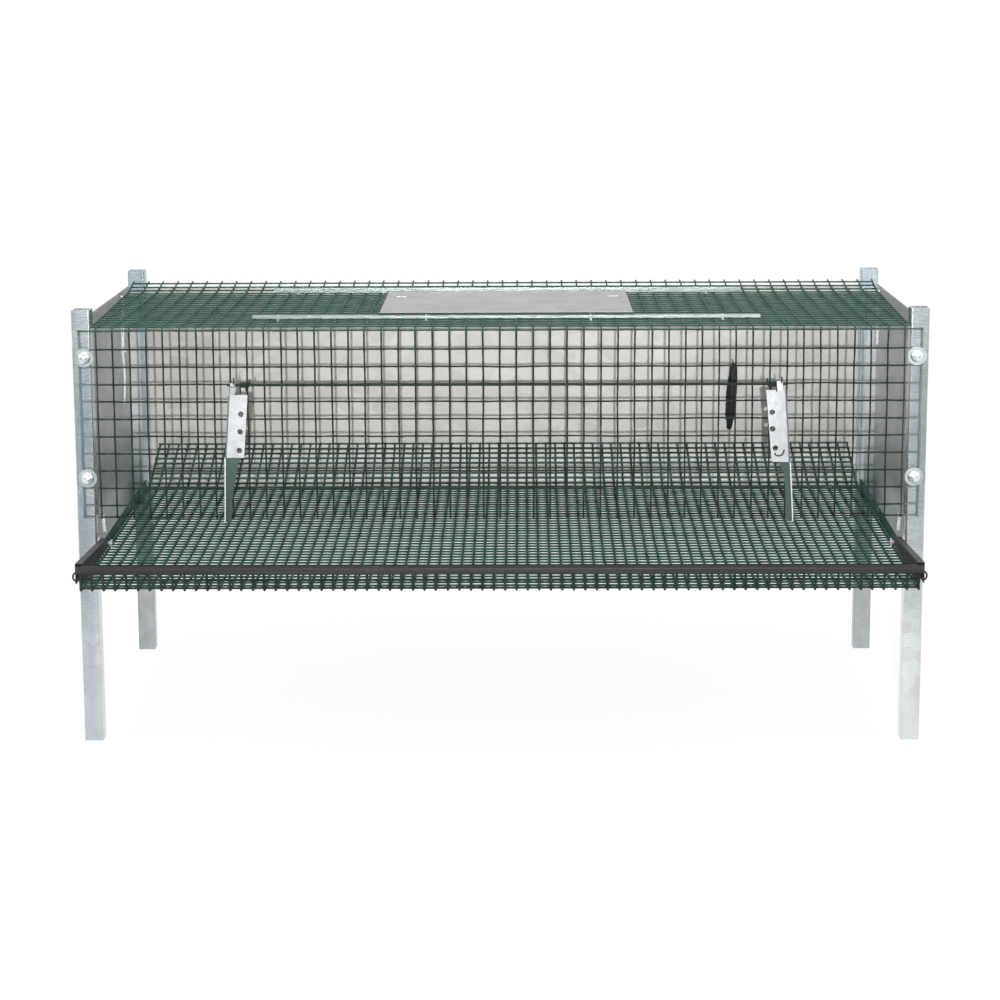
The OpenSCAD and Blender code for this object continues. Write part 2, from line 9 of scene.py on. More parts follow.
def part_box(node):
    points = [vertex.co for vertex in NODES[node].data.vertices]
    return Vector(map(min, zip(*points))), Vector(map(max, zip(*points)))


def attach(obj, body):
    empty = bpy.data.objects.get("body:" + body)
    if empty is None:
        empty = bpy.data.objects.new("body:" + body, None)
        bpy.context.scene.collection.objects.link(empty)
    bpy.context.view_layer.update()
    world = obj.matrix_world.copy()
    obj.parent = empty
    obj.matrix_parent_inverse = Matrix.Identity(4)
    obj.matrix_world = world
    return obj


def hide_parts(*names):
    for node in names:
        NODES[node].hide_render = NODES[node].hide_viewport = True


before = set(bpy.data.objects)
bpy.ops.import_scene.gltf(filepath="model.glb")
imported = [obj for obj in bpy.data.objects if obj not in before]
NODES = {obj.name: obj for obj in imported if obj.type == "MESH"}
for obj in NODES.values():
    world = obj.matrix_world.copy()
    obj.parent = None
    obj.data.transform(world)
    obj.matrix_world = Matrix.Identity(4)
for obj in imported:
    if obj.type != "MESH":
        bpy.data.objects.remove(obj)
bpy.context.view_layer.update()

MM = 0.001
BODY = "cage"
DOOR_BODY = "door"
BOX = {name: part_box(name) for name in NODES}
LOW, HIGH = 0, 1
X, Y, Z = 0, 1, 2
WHITE, BLACK = (1, 1, 1), (0, 0, 0)


# ---------------------------------------------------------------- camera, light and stage

FRONT_Y = BOX["front_left_post"][LOW][Y]
CAMERA_X = 26.6 * MM
CAMERA_DISTANCE = 2810 * MM
CAMERA_HEIGHT = 872 * MM
CAMERA_TILT = math.radians(9.98)
CAMERA_YAW = math.radians(0.544)
CAMERA_ROLL = math.radians(-0.229)
FOCAL_PX = 2433
IMAGE_PX = 1000
CENTRE_ROW_PX = 430
SENSOR_MM = 36

scene = bpy.context.scene
scene.view_settings.view_transform = "Standard"

camera_data = bpy.data.cameras.new("camera")
camera_data.sensor_width = SENSOR_MM
camera_data.sensor_fit = "HORIZONTAL"
camera_data.lens = FOCAL_PX / IMAGE_PX * SENSOR_MM
camera_data.shift_y = (CENTRE_ROW_PX - IMAGE_PX / 2) / IMAGE_PX
camera = bpy.data.objects.new("camera", camera_data)
scene.collection.objects.link(camera)
camera.matrix_world = (
    Matrix.Translation((CAMERA_X, FRONT_Y - CAMERA_DISTANCE, CAMERA_HEIGHT))
    @ Matrix.Rotation(CAMERA_YAW, 4, "Z")
    @ Matrix.Rotation(math.pi / 2 - CAMERA_TILT, 4, "X")
    @ Matrix.Rotation(CAMERA_ROLL, 4, "Z")
)
scene.camera = camera

# Name, place, target, size and power. The key light is small and just behind the lens, so that the
# front mesh throws sharp shadow lines on the rear wall.
CENTRE = (0, 0.05, 0.35)
LIGHTS = (
    ("key", (0.0345, -3.53, 0.935), CENTRE, (0.018, 0.018), 75),
    ("overhead", (0, -0.2, 2.6), (0, 0, 0.3), (2.6, 1.8), 13),
    ("left_fill", (-2.6, -1.4, 1.6), CENTRE, (1.6, 1.6), 9),
    ("right_fill", (2.6, -1.4, 1.6), CENTRE, (1.6, 1.6), 9),
)
WORLD_TINT, WORLD_STRENGTH = (0.97, 0.985, 1, 1), 0.45
FLOOR_HALF, FLOOR_Z = 40, -0.0005
FLOOR_TONE = (0.93, 0.93, 0.93, 1)
FLOOR_GLOW_SHARE = 0.78
# The floor's glow rises with distance, so that it meets the white background without a seam.
GLOW_NEAR_Y, GLOW_FAR_Y = 0.4, 2.2
GLOW_NEAR, GLOW_FAR = 1.12, 1.165
# A dark card on the floor before the cage, which only reflections see.
CARD_HALF, CARD_NEAR_Y, CARD_FAR_Y, CARD_Z = 4, -6, -1.15, 0.002
CARD_TONE = (0.16, 0.20, 0.22, 1)


def area_light(name, place, target, size, power):
    data = bpy.data.lights.new(name, "AREA")
    data.shape = "RECTANGLE"
    data.size, data.size_y = size
    data.energy = power
    light = bpy.data.objects.new(name, data)
    light.location = place
    light.rotation_euler = (Vector(target) - Vector(place)).to_track_quat("-Z", "Y").to_euler()
    scene.collection.objects.link(light)


class Tree:
    """A small helper for node trees: nodes are added with their attributes (_name), inputs by name
    (two underscores stand for a space) and inputs by number (i0, i1 ...)."""

    def __init__(self, tree):
        self.tree = tree

    def add(self, kind, **inputs):
        node = self.tree.nodes.new(kind)
        for key, value in inputs.items():
            if key.startswith("_"):
                setattr(node, key[1:], value)
        for key, value in inputs.items():
            if not key.startswith("_"):
                self.put(node, key.replace("__", " "), value)
        return node

    def put(self, node, key, value):
        numbered = key[0] == "i" and key[1:].isdigit()
        socket = node.inputs[int(key[1:]) if numbered else key]
        if isinstance(value, bpy.types.NodeSocket):
            self.tree.links.new(value, socket)
        else:
            socket.default_value = value

    def calc(self, operation, *values):
        inputs = {f"i{k}": value for k, value in enumerate(values)}
        return self.add("ShaderNodeMath", _operation=operation, **inputs).outputs[0]


def object_coords(tree):
    return tree.add("ShaderNodeTexCoord").outputs["Object"]


def split(tree, vector):
    """The X, Y and Z outputs of a vector."""
    return tree.add("ShaderNodeSeparateXYZ", Vector=vector).outputs


def map_range(tree, value, start, end, low=0, high=1):
    """A value carried from start..end to low..high and held beyond both ends."""
    return tree.add("ShaderNodeMapRange", Value=value, From__Min=start, From__Max=end,
                    To__Min=low, To__Max=high).outputs[0]


def seen_directly(tree):
    """1 for camera, glossy and transmission rays, which see the plain white background."""
    path = tree.add("ShaderNodeLightPath").outputs
    first = tree.calc("MAXIMUM", path["Is Camera Ray"], path["Is Glossy Ray"])
    return tree.calc("MAXIMUM", first, path["Is Transmission Ray"])


def make_world():
    world = bpy.data.worlds.new("studio")
    scene.world = world
    world.use_nodes = True
    world.node_tree.nodes.clear()
    tree = Tree(world.node_tree)
    light = tree.add("ShaderNodeBackground", Color=WORLD_TINT, Strength=WORLD_STRENGTH)
    white = tree.add("ShaderNodeBackground", Color=(*WHITE, 1), Strength=1)
    mix = tree.add("ShaderNodeMixShader", i0=seen_directly(tree),
                   i1=light.outputs[0], i2=white.outputs[0])
    tree.add("ShaderNodeOutputWorld", Surface=mix.outputs[0])


def new_material(name):
    material = bpy.data.materials.new(name)
    material.use_nodes = True
    material.node_tree.nodes.clear()
    return material, Tree(material.node_tree)


def floor_material():
    material, tree = new_material("pale_floor")
    coat = tree.add("ShaderNodeBsdfDiffuse", Color=FLOOR_TONE)
    away = split(tree, object_coords(tree))["Y"]
    level = map_range(tree, away, GLOW_NEAR_Y, GLOW_FAR_Y, GLOW_NEAR, GLOW_FAR)
    glow = tree.add("ShaderNodeEmission", Color=(*WHITE, 1), Strength=level)
    share = tree.calc("MULTIPLY", seen_directly(tree), FLOOR_GLOW_SHARE)
    mix = tree.add("ShaderNodeMixShader", i0=share, i1=coat.outputs[0], i2=glow.outputs[0])
    tree.add("ShaderNodeOutputMaterial", Surface=mix.outputs[0])
    return material


def card_material():
    material, tree = new_material("studio_card")
    coat = tree.add("ShaderNodeBsdfDiffuse", Color=CARD_TONE)
    tree.add("ShaderNodeOutputMaterial", Surface=coat.outputs[0])
    return material


def plane(name, half_x, y0, y1, z, material):
    corners = [(-half_x, y0, z), (half_x, y0, z), (half_x, y1, z), (-half_x, y1, z)]
    mesh = bpy.data.meshes.new(name)
    mesh.from_pydata(corners, [], [(0, 1, 2, 3)])
    mesh.materials.append(material)
    item = bpy.data.objects.new(name, mesh)
    scene.collection.objects.link(item)
    return item


for light in LIGHTS:
    area_light(*light)
make_world()
plane("floor", FLOOR_HALF, -FLOOR_HALF, FLOOR_HALF, FLOOR_Z, floor_material())
card = plane("studio_card", CARD_HALF, CARD_NEAR_Y, CARD_FAR_Y, CARD_Z, card_material())
card.visible_camera = False
card.visible_diffuse = False
card.visible_shadow = False


# ---------------------------------------------------------------- materials

OUTER_TONE = (0.74, 0.74, 0.74, 1)
RUBBED_GREEN = (0.07, 0.14, 0.11, 1)
DUST = (0.16, 0.15, 0.14, 1)
COAT_DARK_AT, COAT_LIGHT_AT = 0.3, 0.72


def stretched(tree, coords, scale):
    return tree.add("ShaderNodeMapping", Vector=coords, Scale=scale).outputs[0]


def noise(tree, coords, scale, detail, rough=0.55):
    return tree.add("ShaderNodeTexNoise", Vector=coords, Scale=scale, Detail=detail,
                    Roughness=rough).outputs["Fac"]


def ramp(tree, factor, stops):
    node = tree.add("ShaderNodeValToRGB", Fac=factor)
    elements = node.color_ramp.elements
    while len(elements) < len(stops):
        elements.new(0.5)
    for element, (place, colour) in zip(elements, stops):
        element.position = place
        element.color = (*colour, 1)
    return node.outputs["Color"]


def blend_colours(tree, factor, a, b, mode="MIX"):
    node = tree.add("ShaderNodeMix", _data_type="RGBA", _blend_type=mode, i0=factor, i6=a, i7=b)
    return node.outputs[2]


def spread(tree, factor, low, high):
    return map_range(tree, factor, 0, 1, low, high)


def bump(tree, height, strength, distance):
    node = tree.add("ShaderNodeBump", Height=height, Strength=strength, Distance=distance)
    return node.outputs[0]


def principled(material, tree, **inputs):
    shader = tree.add("ShaderNodeBsdfPrincipled", **inputs)
    tree.add("ShaderNodeOutputMaterial", Surface=shader.outputs[0])
    return material


def painted_height_light(tree, coords, low_z, high_z, low, inside=False):
    """Painted light and shade by height on the object: the low tone up to low_z, blending to no
    change at high_z. With inside, faces that look away from the middle of the cage have one plain
    tone instead."""
    place = split(tree, coords)
    tone = ramp(tree, map_range(tree, place["Z"], low_z, high_z), [(0, low), (1, WHITE)])
    if not inside:
        return tone
    normal = split(tree, tree.add("ShaderNodeTexCoord").outputs["Normal"])
    away = tree.calc("MULTIPLY", normal["X"], place["X"])
    outer = tree.calc("GREATER_THAN", away, 0)
    return blend_colours(tree, outer, tone, OUTER_TONE)


def zinc(name, dark, light, metallic, rough, spangle, streak, bump_strength=0.08, painted_fade=None,
         specular=0.5):
    """Galvanised steel: spangle, blotches along the rolling direction, small scratches. The
    optional tones by height are painted light and shade."""
    material, tree = new_material(name)
    coords = object_coords(tree)
    cells = tree.add("ShaderNodeTexVoronoi", Vector=coords, Scale=spangle)
    grain = noise(tree, stretched(tree, coords, streak), scale=24, detail=5)
    cloud = noise(tree, coords, scale=7, detail=3)
    scratch = noise(tree, stretched(tree, coords, (60, 60, 900)), scale=1.6, detail=2)
    tone = ramp(tree, grain, [(0.32, dark), (0.68, light)])
    flake = spread(tree, cells.outputs["Color"], 0.88, 1.08)
    tone = blend_colours(tree, 1.0, tone, flake, "MULTIPLY")
    patch = spread(tree, cloud, 0.8, 1.16)
    tone = blend_colours(tree, 0.8, tone, patch, "MULTIPLY")
    # Painted light and shade by height, when given.
    if painted_fade:
        tone = blend_colours(tree, 1.0, tone, painted_height_light(tree, coords, *painted_fade), "MULTIPLY")
    height = tree.calc("ADD", cloud, scratch)
    return principled(material, tree, Base__Color=tone, Metallic=metallic,
                      Roughness=spread(tree, grain, *rough), Specular__IOR__Level=specular,
                      Normal=bump(tree, height, bump_strength, 0.002))


def coated_wire(name, dark, light, rough, painted_zones):
    """Plastic coating over wire: uneven colour, rubbed high spots and a faint orange-peel surface.

    Each painted zone paints light and shade on the wire: an axis, where along it (either side of
    the middle for X) the zone starts and is whole, and its own dark and light tones.
    """
    material, tree = new_material(name)
    coords = object_coords(tree)
    patch = noise(tree, coords, scale=38, detail=4)
    fine = noise(tree, coords, scale=900, detail=3)
    tone = ramp(tree, patch, [(COAT_DARK_AT, dark), (COAT_LIGHT_AT, light)])
    rub = ramp(tree, noise(tree, coords, scale=160, detail=4), [(0.62, BLACK), (0.8, WHITE)])
    tone = blend_colours(tree, rub, tone, RUBBED_GREEN)
    place = split(tree, coords)
    for axis, start, whole, painted_dark_tone, painted_light_tone in painted_zones:
        along = tree.calc("ABSOLUTE", place["X"]) if axis == "X" else place[axis]
        zone = ramp(tree, patch, [(COAT_DARK_AT, painted_dark_tone), (COAT_LIGHT_AT, painted_light_tone)])
        tone = blend_colours(tree, map_range(tree, along, start, whole), tone, zone)
    return principled(material, tree, Base__Color=tone, Roughness=spread(tree, fine, *rough),
                      Specular__IOR__Level=0.06, Normal=bump(tree, fine, 0.15, 0.0006))


def dark_plastic(name, dark, light, rough):
    """Extruded edging: drawn streaks along its length and dull scuffs."""
    material, tree = new_material(name)
    coords = object_coords(tree)
    streaks = noise(tree, stretched(tree, coords, (3, 300, 300)), scale=1.5, detail=4)
    scuffs = noise(tree, coords, scale=70, detail=4)
    tone = ramp(tree, streaks, [(0.3, dark), (0.75, light)])
    dust = ramp(tree, scuffs, [(0.58, BLACK), (0.9, (0.25, 0.25, 0.25))])
    tone = blend_colours(tree, dust, tone, DUST)
    return principled(material, tree, Base__Color=tone, Roughness=spread(tree, scuffs, *rough),
                      Specular__IOR__Level=0.3, Normal=bump(tree, streaks, 0.2, 0.001))


# Zinc: dark and light tone, metallic share, roughness range, spangle, streak and, for some, bump.
POST_GRAIN = (70, (1, 1, 0.08))
# Painted light and shade on the posts: the right and rear posts are darker copies of the post zinc,
# and the tones by height make the legs darker on the left and rear posts and a little lighter on
# the right one.
POST_ZINC = zinc("post_zinc", (0.61, 0.68, 0.71), (0.87, 0.91, 0.93), 0.96, (0.14, 0.28),
                 *POST_GRAIN, painted_fade=(238 * MM, 300 * MM, (0.71, 0.72, 0.73)))
RIGHT_POST_SHADED_ZINC = zinc("right_post_shaded_zinc", (0.55, 0.61, 0.63), (0.78, 0.81, 0.82), 0.96,
                       (0.14, 0.28), *POST_GRAIN, painted_fade=(238 * MM, 300 * MM, (1.02, 1.01, 1.0)))
REAR_POST_SHADED_ZINC = zinc("rear_post_shaded_zinc", (0.36, 0.43, 0.47), (0.52, 0.60, 0.64), 0.6, (0.2, 0.34),
                      *POST_GRAIN, painted_fade=(200 * MM, 280 * MM, (0.84, 0.78, 0.75)))
# The side panels' inner faces turn dark green towards the bottom: a painted reflection of the green
# floor mesh and painted shade.
PANEL_ZINC = zinc("panel_zinc", (0.50, 0.51, 0.505), (0.62, 0.625, 0.62), 0.30, (0.30, 0.42),
                  45, (0.6, 0.6, 1), painted_fade=(230 * MM, 330 * MM, (0.22, 0.30, 0.29), True),
                  specular=0.15)
REAR_ZINC = zinc("rear_zinc", (0.435, 0.425, 0.405), (0.53, 0.515, 0.497), 0.5, (0.36, 0.55),
                 45, (0.2, 1, 1))
DOOR_ZINC = zinc("door_zinc", (0.39, 0.38, 0.375), (0.47, 0.46, 0.455), 0.6, (0.35, 0.5),
                 45, (0.2, 1, 1))
RAIL_ZINC = zinc("rail_zinc", (0.23, 0.28, 0.265), (0.34, 0.385, 0.37), 0.75, (0.25, 0.4),
                 60, (0.1, 1, 1))
BRACKET_ZINC = zinc("bracket_zinc", (0.33, 0.345, 0.36), (0.50, 0.51, 0.515), 0.45, (0.38, 0.55),
                    160, (1, 1, 0.3))
# The bracket tongue is a dark green copy of the bracket zinc: painted shade and a painted
# reflection of the green mesh.
TONGUE_SHADED_ZINC = zinc("tongue_shaded_zinc", (0.025, 0.056, 0.048), (0.075, 0.115, 0.10), 0.4, (0.35, 0.55),
                   160, (1, 1, 0.2))
# A darker blue-grey copy of the bracket zinc for the turned flanges and the left strap: painted
# shade.
FLANGE_SHADED_ZINC = zinc("flange_shaded_zinc", (0.30, 0.36, 0.40), (0.42, 0.48, 0.52), 0.8, (0.25, 0.4),
                   160, (1, 1, 0.2))
# Painted shade: near-black zinc for the shaded face of the door's lip and the dark rings round the
# bracket holes.
LIP_SHADE = zinc("lip_shade", (0.03, 0.033, 0.035), (0.07, 0.075, 0.078), 0.3, (0.5, 0.7),
                 160, (0.1, 1, 1))
WASHER_ZINC = zinc("washer_zinc", (0.40, 0.48, 0.48), (0.58, 0.65, 0.65), 0.7, (0.2, 0.36),
                   200, (1, 1, 1), 0.05)
BOLT_ZINC = zinc("bolt_zinc", (0.66, 0.69, 0.71), (0.84, 0.86, 0.87), 1.0, (0.14, 0.3),
                 260, (1, 1, 1), 0.05)
# Near-white zinc: the ties' own colour, and on the brackets a painted highlight.
TIE_ZINC_AND_HIGHLIGHT = zinc("tie_zinc_and_highlight", (0.90, 0.91, 0.91), (0.97, 0.97, 0.97), 0.05, (0.2, 0.35),
                300, (1, 1, 1), 0.05)

# Coated wire, with painted light and shade: paler over the posts as a painted highlight, lighter
# and greener along the top as painted overhead light, lighter on the flap as a painted highlight
# and darker on the lip as painted shade.
FLAP_Z = BOX["floor_rear_flap"][LOW][Z]
LIP_Y = BOX["tray_front_lip"][HIGH][Y]
WALL_GREEN = coated_wire(
    "wall_green", (0.019, 0.027, 0.021), (0.042, 0.057, 0.046), (0.45, 0.6),
    (("X", 470 * MM, 479 * MM, (0.13, 0.17, 0.17), (0.24, 0.29, 0.29)),
     ("Z", 490 * MM, 497 * MM, (0.028, 0.080, 0.060), (0.065, 0.150, 0.115))))
FLOOR_GREEN = coated_wire(
    "floor_green", (0.018, 0.050, 0.038), (0.042, 0.105, 0.082), (0.5, 0.7),
    (("Z", FLAP_Z + 2 * MM, FLAP_Z + 10 * MM, (0.035, 0.072, 0.058), (0.085, 0.150, 0.125)),
     ("Y", LIP_Y + 4 * MM, LIP_Y, (0.016, 0.024, 0.020), (0.036, 0.052, 0.043))))
EDGING_DARK = dark_plastic("edging_dark", (0.010, 0.009, 0.008), (0.026, 0.023, 0.021),
                           (0.35, 0.55))
CLIP_DARK = dark_plastic("clip_dark", (0.010, 0.012, 0.011), (0.028, 0.032, 0.030),
                         (0.45, 0.65))

NODE_MATERIALS = {
    "front_left_post": POST_ZINC, "front_right_post": RIGHT_POST_SHADED_ZINC,
    "rear_left_post": REAR_POST_SHADED_ZINC, "rear_right_post": REAR_POST_SHADED_ZINC,
    "left_side_panel": PANEL_ZINC, "right_side_panel": PANEL_ZINC, "rear_panel": REAR_ZINC,
    "front_mesh": WALL_GREEN, "top_mesh": WALL_GREEN, "feeder_rod": WALL_GREEN,
    "floor_mesh": FLOOR_GREEN, "floor_rear_flap": FLOOR_GREEN, "tray_front_lip": FLOOR_GREEN,
    "left_floor_lip": FLOOR_GREEN, "right_floor_lip": FLOOR_GREEN,
    "front_edging": EDGING_DARK, "left_edging": EDGING_DARK, "right_edging": EDGING_DARK,
    "left_feeder_bracket": BRACKET_ZINC, "right_feeder_bracket": BRACKET_ZINC,
    "sliding_door": DOOR_ZINC,
    "front_rail": RAIL_ZINC, "rear_rail": RAIL_ZINC, "rail_clips": RAIL_ZINC,
    "front_bolts": BOLT_ZINC, "front_washers": WASHER_ZINC, "front_nuts": BOLT_ZINC,
    "tray_pegs": REAR_POST_SHADED_ZINC, "drinker_clip": CLIP_DARK,
}
for name, node in NODES.items():
    node.data.materials.clear()
    node.data.materials.append(NODE_MATERIALS[name])


# ---------------------------------------------------------------- making of pieces

MESH_SIDES, SMALL_SIDES, CURL_SIDES = 6, 7, 8  # of tubes
SIDE_HINT = (0.31, 0.67, 0.54)  # a direction that no tube starts along
SWEEP_CREASE = math.radians(40)


def add_piece(name, verts, faces, material, replaced=(), body=BODY, smooth=True, crease=None):
    """A mesh piece on its body; with smooth its quads are smooth, apart from edges over crease."""
    mesh = bpy.data.meshes.new(name)
    mesh.from_pydata(verts, [], faces)
    mesh.materials.append(material)
    if smooth:
        mesh.polygons.foreach_set("use_smooth", [len(face) == 4 for face in faces])
    if crease:
        mesh.set_sharp_from_angle(angle=crease)
    mesh.update()
    piece = bpy.data.objects.new(name, mesh)
    scene.collection.objects.link(piece)
    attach(piece, body)
    if replaced:
        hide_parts(*replaced)


def ring_faces(start, rings, count):
    """Faces of a closed body through rings of count points each, numbered from start."""
    end = start + (rings - 1) * count
    faces = []
    for low in range(start, end, count):
        for k in range(count):
            n = (k + 1) % count
            faces.append((low + k, low + n, low + count + n, low + count + k))
    faces.append(tuple(range(start + count - 1, start - 1, -1)))
    faces.append(tuple(range(end, end + count)))
    return faces


def tube_piece(name, paths, radii, sides, material, replaced=()):
    """Closed round tubes, one along each path; radii is one for all or a list of them."""
    if np.isscalar(radii):
        radii = [radii] * len(paths)
    turn = np.linspace(0, 2 * math.pi, sides, endpoint=False) + math.pi / sides
    ring = np.stack([np.cos(turn), np.sin(turn)], 1)
    verts, faces = [], []
    start = 0
    for path, radius in zip(paths, radii):
        path = np.asarray(path, float)
        count = len(path)
        radius = np.broadcast_to(radius, count)
        tangent = np.gradient(path, axis=0)
        tangent /= np.linalg.norm(tangent, axis=1)[:, None]
        side = np.cross(tangent[0], SIDE_HINT)
        for i in range(count):
            side = side - tangent[i] * side.dot(tangent[i])
            side /= np.linalg.norm(side)
            up = np.cross(tangent[i], side)
            verts.append(path[i] + radius[i] * (ring[:, :1] * side + ring[:, 1:] * up))
        faces += ring_faces(start, count, sides)
        start += count * sides
    add_piece(name, np.concatenate(verts).tolist(), faces, material, replaced)


def loft_piece(name, rings, material, replaced=(), body=BODY, crease=None):
    """A closed body through rings of equal point count."""
    verts = [point for ring in rings for point in ring]
    faces = ring_faces(0, len(rings), len(rings[0]))
    add_piece(name, verts, faces, material, replaced, body, crease=crease)


def swept_piece(name, outline, stations, material, replaced=(), body=BODY):
    """A closed [y, z] outline carried along X; each station gives x and a [y, z] shift."""
    rings = [[(x, y + dy, z + dz) for y, z in outline] for x, dy, dz in stations]
    loft_piece(name, rings, material, replaced, body, SWEEP_CREASE)


def sheet_piece(name, points, faces, thickness, material, slot, replaced=()):
    """A sheet: faces seen from the front, a back at +thickness in Y and walls along free edges."""
    count = len(points)
    verts = [tuple(point) for point in points] + [(x, y + thickness, z) for x, y, z in points]
    solid = [tuple(face) for face in faces]
    solid += [tuple(k + count for k in reversed(face)) for face in faces]
    edges = dict.fromkeys((a, b) for face in faces for a, b in zip(face, face[1:] + face[:1]))
    solid += [(b, a, a + count, b + count) for a, b in edges if (b, a) not in edges]
    add_piece(name, verts, solid, material, replaced, smooth=False)


def arc(centre, radius, start, stop, steps):
    """Points in a [y, z] plane round a centre, by angle from +y towards +z."""
    angles = np.radians(np.linspace(start, stop, steps))
    return [(centre[0] + radius * math.cos(a), centre[1] + radius * math.sin(a)) for a in angles]


def path_points(x, y, z):
    """Points of a path from its coordinates, each an array or one number for all points."""
    return np.stack(np.broadcast_arrays(x, y, z), 1)


def wander(rng, count, size):
    """Small smooth wander of a wire from its straight line."""
    step = rng.normal(0, 1, count + 6)
    return np.convolve(step, np.ones(5) / 5, "same")[3:count + 3] * size


def wavy(rng, points, axis, size):
    """A wire's points with a wander along one axis and both ends held."""
    points = np.array(points, float)
    offset = wander(rng, len(points), size)
    offset[0] = offset[-1] = 0
    points[:, axis] += offset
    return points


def with_middles(values):
    """Crossing places with a middle point between each two, and which of them are crossings."""
    values = list(values)
    out, crossing = [], []
    for a, b in zip(values[:-1], values[1:]):
        out += [a, (a + b) / 2]
        crossing += [True, False]
    return out + values[-1:], crossing + [True]


def column_places(rng, half, columns, size):
    """Where a mesh's long wires run in X: evenly, with a small wander between the outer two."""
    pitch = 2 * half / columns
    shift = wander(rng, columns + 1, size)
    shift[0] = shift[-1] = 0
    return [-half + i * pitch + shift[i] for i in range(columns + 1)]


# ---------------------------------------------------------------- wire meshes

STUB = 1.5 * MM  # wire past its last crossing
SINK = 0.25 * MM  # how far crossing wires are welded into each other
BEAD, SHANK = 1.16, 0.97  # radius at a crossing and between, as a share of the wire's

WIRE_R = 1.0 * MM
COLS = 50
CELL_LONG = 20.6 * MM
FRONT_ROWS = 11
FIRST_TOP_ROW = 18.5 * MM  # behind the posts' front faces
HATCH_ROWS = (3, 15)
HATCH_HALF_COLS = 7
BEND_R = 5 * MM
BEND_WIRE_SHIFT = (0.6 * MM, 1.4 * MM)  # of the cross wire in the bend, back and up
POST_GAP = 0.3 * MM
WAVE_ROOM = 0.45 * MM
RISE_GAP, RISE_POWER = 4 * MM, 1.4
COLUMN_WANDER = 0.8 * MM
WIRE_WAVE = 0.42 * MM


def wall_mesh():
    """Front and top wall as one mesh: wires bent over at the front and turned up at the rear."""
    rng = np.random.RandomState(5)
    front_low, front_high = BOX["front_mesh"]
    top_low, top_high = BOX["top_mesh"]
    post_inner_x, post_rear_y, _ = BOX["front_left_post"][HIGH]
    half = front_high[X] - STUB
    top_z = top_low[Z] + 3 * WIRE_R + WAVE_ROOM
    first_z = top_z - BEND_R
    bottom_z = front_low[Z] + STUB
    col_y = front_low[Y] + WIRE_R
    layer = 2 * WIRE_R - SINK
    leg_y = top_high[Y] - 3 * WIRE_R - WAVE_ROOM
    rise_y = BOX["rear_rail"][HIGH][Y] + RISE_GAP
    rise_z = top_high[Z] - WIRE_R - top_z
    free_half = -post_inner_x - POST_GAP
    rows_z = [bottom_z] + [first_z - k * CELL_LONG for k in range(FRONT_ROWS - 1, -1, -1)]
    first_y = FRONT_Y + FIRST_TOP_ROW
    top_rows = int((leg_y - 2 * WIRE_R - first_y) / CELL_LONG) + 1
    rows_y = [first_y + j * CELL_LONG for j in range(top_rows)]

    def lifted(y):
        """Height of the top mesh, which springs up towards its free rear edge."""
        return top_z + rise_z * (max(y - rise_y, 0) / (leg_y - rise_y)) ** RISE_POWER

    def edge_x(y):
        """The outermost top wires are drawn in at the front posts."""
        share = min(max((y - post_rear_y) / (leg_y - post_rear_y), 0), 1)
        return free_half + (half - free_half) * share

    hatch_y = [rows_y[j] for j in HATCH_ROWS]
    xs = column_places(rng, half, COLS, COLUMN_WANDER)
    middle = COLS // 2
    hatch_x = (xs[middle - HATCH_HALF_COLS], xs[middle + HATCH_HALF_COLS])
    paths, radii = [], []

    def add(marked, axis):
        """A wire through points, each with a mark that says whether it is a crossing."""
        paths.append(wavy(rng, [point for point, _ in marked], axis, WIRE_WAVE))
        radii.append(np.where([crossing for _, crossing in marked], BEAD, SHANK) * WIRE_R)

    for x in xs:
        inner = abs(x) + WIRE_R < free_half
        up = [((x, col_y, bottom_z - STUB), False)]
        up += [((x, col_y, z), c) for z, c in zip(*with_middles(rows_z))]
        round_points = arc((col_y + BEND_R, first_z), BEND_R, 180, 90, 5)
        bend = [((x, y, z), False) for y, z in round_points[1:]]
        start = -1 if inner else post_rear_y + POST_GAP
        along = [((x, y, lifted(y)), c)
                 for y, c in zip(*with_middles([y for y in rows_y if y > start]))]
        turn = [((x, leg_y, lifted(leg_y)), False)]
        if not inner:
            add(up, X)
            side = math.copysign(1, x)
            edge = [((x, start, top_z), False)] + along + turn
            add([((side * edge_x(y), y, z), c) for (_, y, z), c in edge], X)
        elif hatch_x[0] < x < hatch_x[1]:
            near = [mark for mark in along if mark[0][Y] < hatch_y[0] + WIRE_R]
            far = [mark for mark in along if mark[0][Y] > hatch_y[1] - WIRE_R]
            add(up + bend + near + [((x, hatch_y[0] + WIRE_R + STUB, top_z), False)], X)
            add([((x, hatch_y[1] - WIRE_R - STUB, top_z), False)] + far + turn, X)
        else:
            add(up + bend + along + turn, X)

    def cross_wire(x0, x1, y, z, axis):
        inner = [x for x in xs if x0 + STUB / 2 < x < x1 - STUB / 2]
        marked = [((x, y, z), c) for x, c in zip(*with_middles(inner))]
        add([((x0, y, z), False)] + marked + [((x1, y, z), False)], axis)

    wide = half + STUB
    for z in rows_z[:-1]:
        cross_wire(-wide, wide, col_y + layer, z, Z)
    back, lift = BEND_WIRE_SHIFT
    cross_wire(-wide, wide, col_y + layer + back, first_z + lift, Z)
    for j, y in enumerate(rows_y):
        reach = edge_x(y) + (STUB if y - WIRE_R > post_rear_y else 0)
        z = lifted(y) - layer
        if HATCH_ROWS[0] < j < HATCH_ROWS[1]:
            cross_wire(-reach, hatch_x[0] + WIRE_R + STUB, y, z, Y)
            cross_wire(hatch_x[1] - WIRE_R - STUB, reach, y, z, Y)
        else:
            cross_wire(-reach, reach, y, z, Y)
    tube_piece("wall_wires", paths, radii, MESH_SIDES, WALL_GREEN,
               ("front_mesh", "top_mesh"))


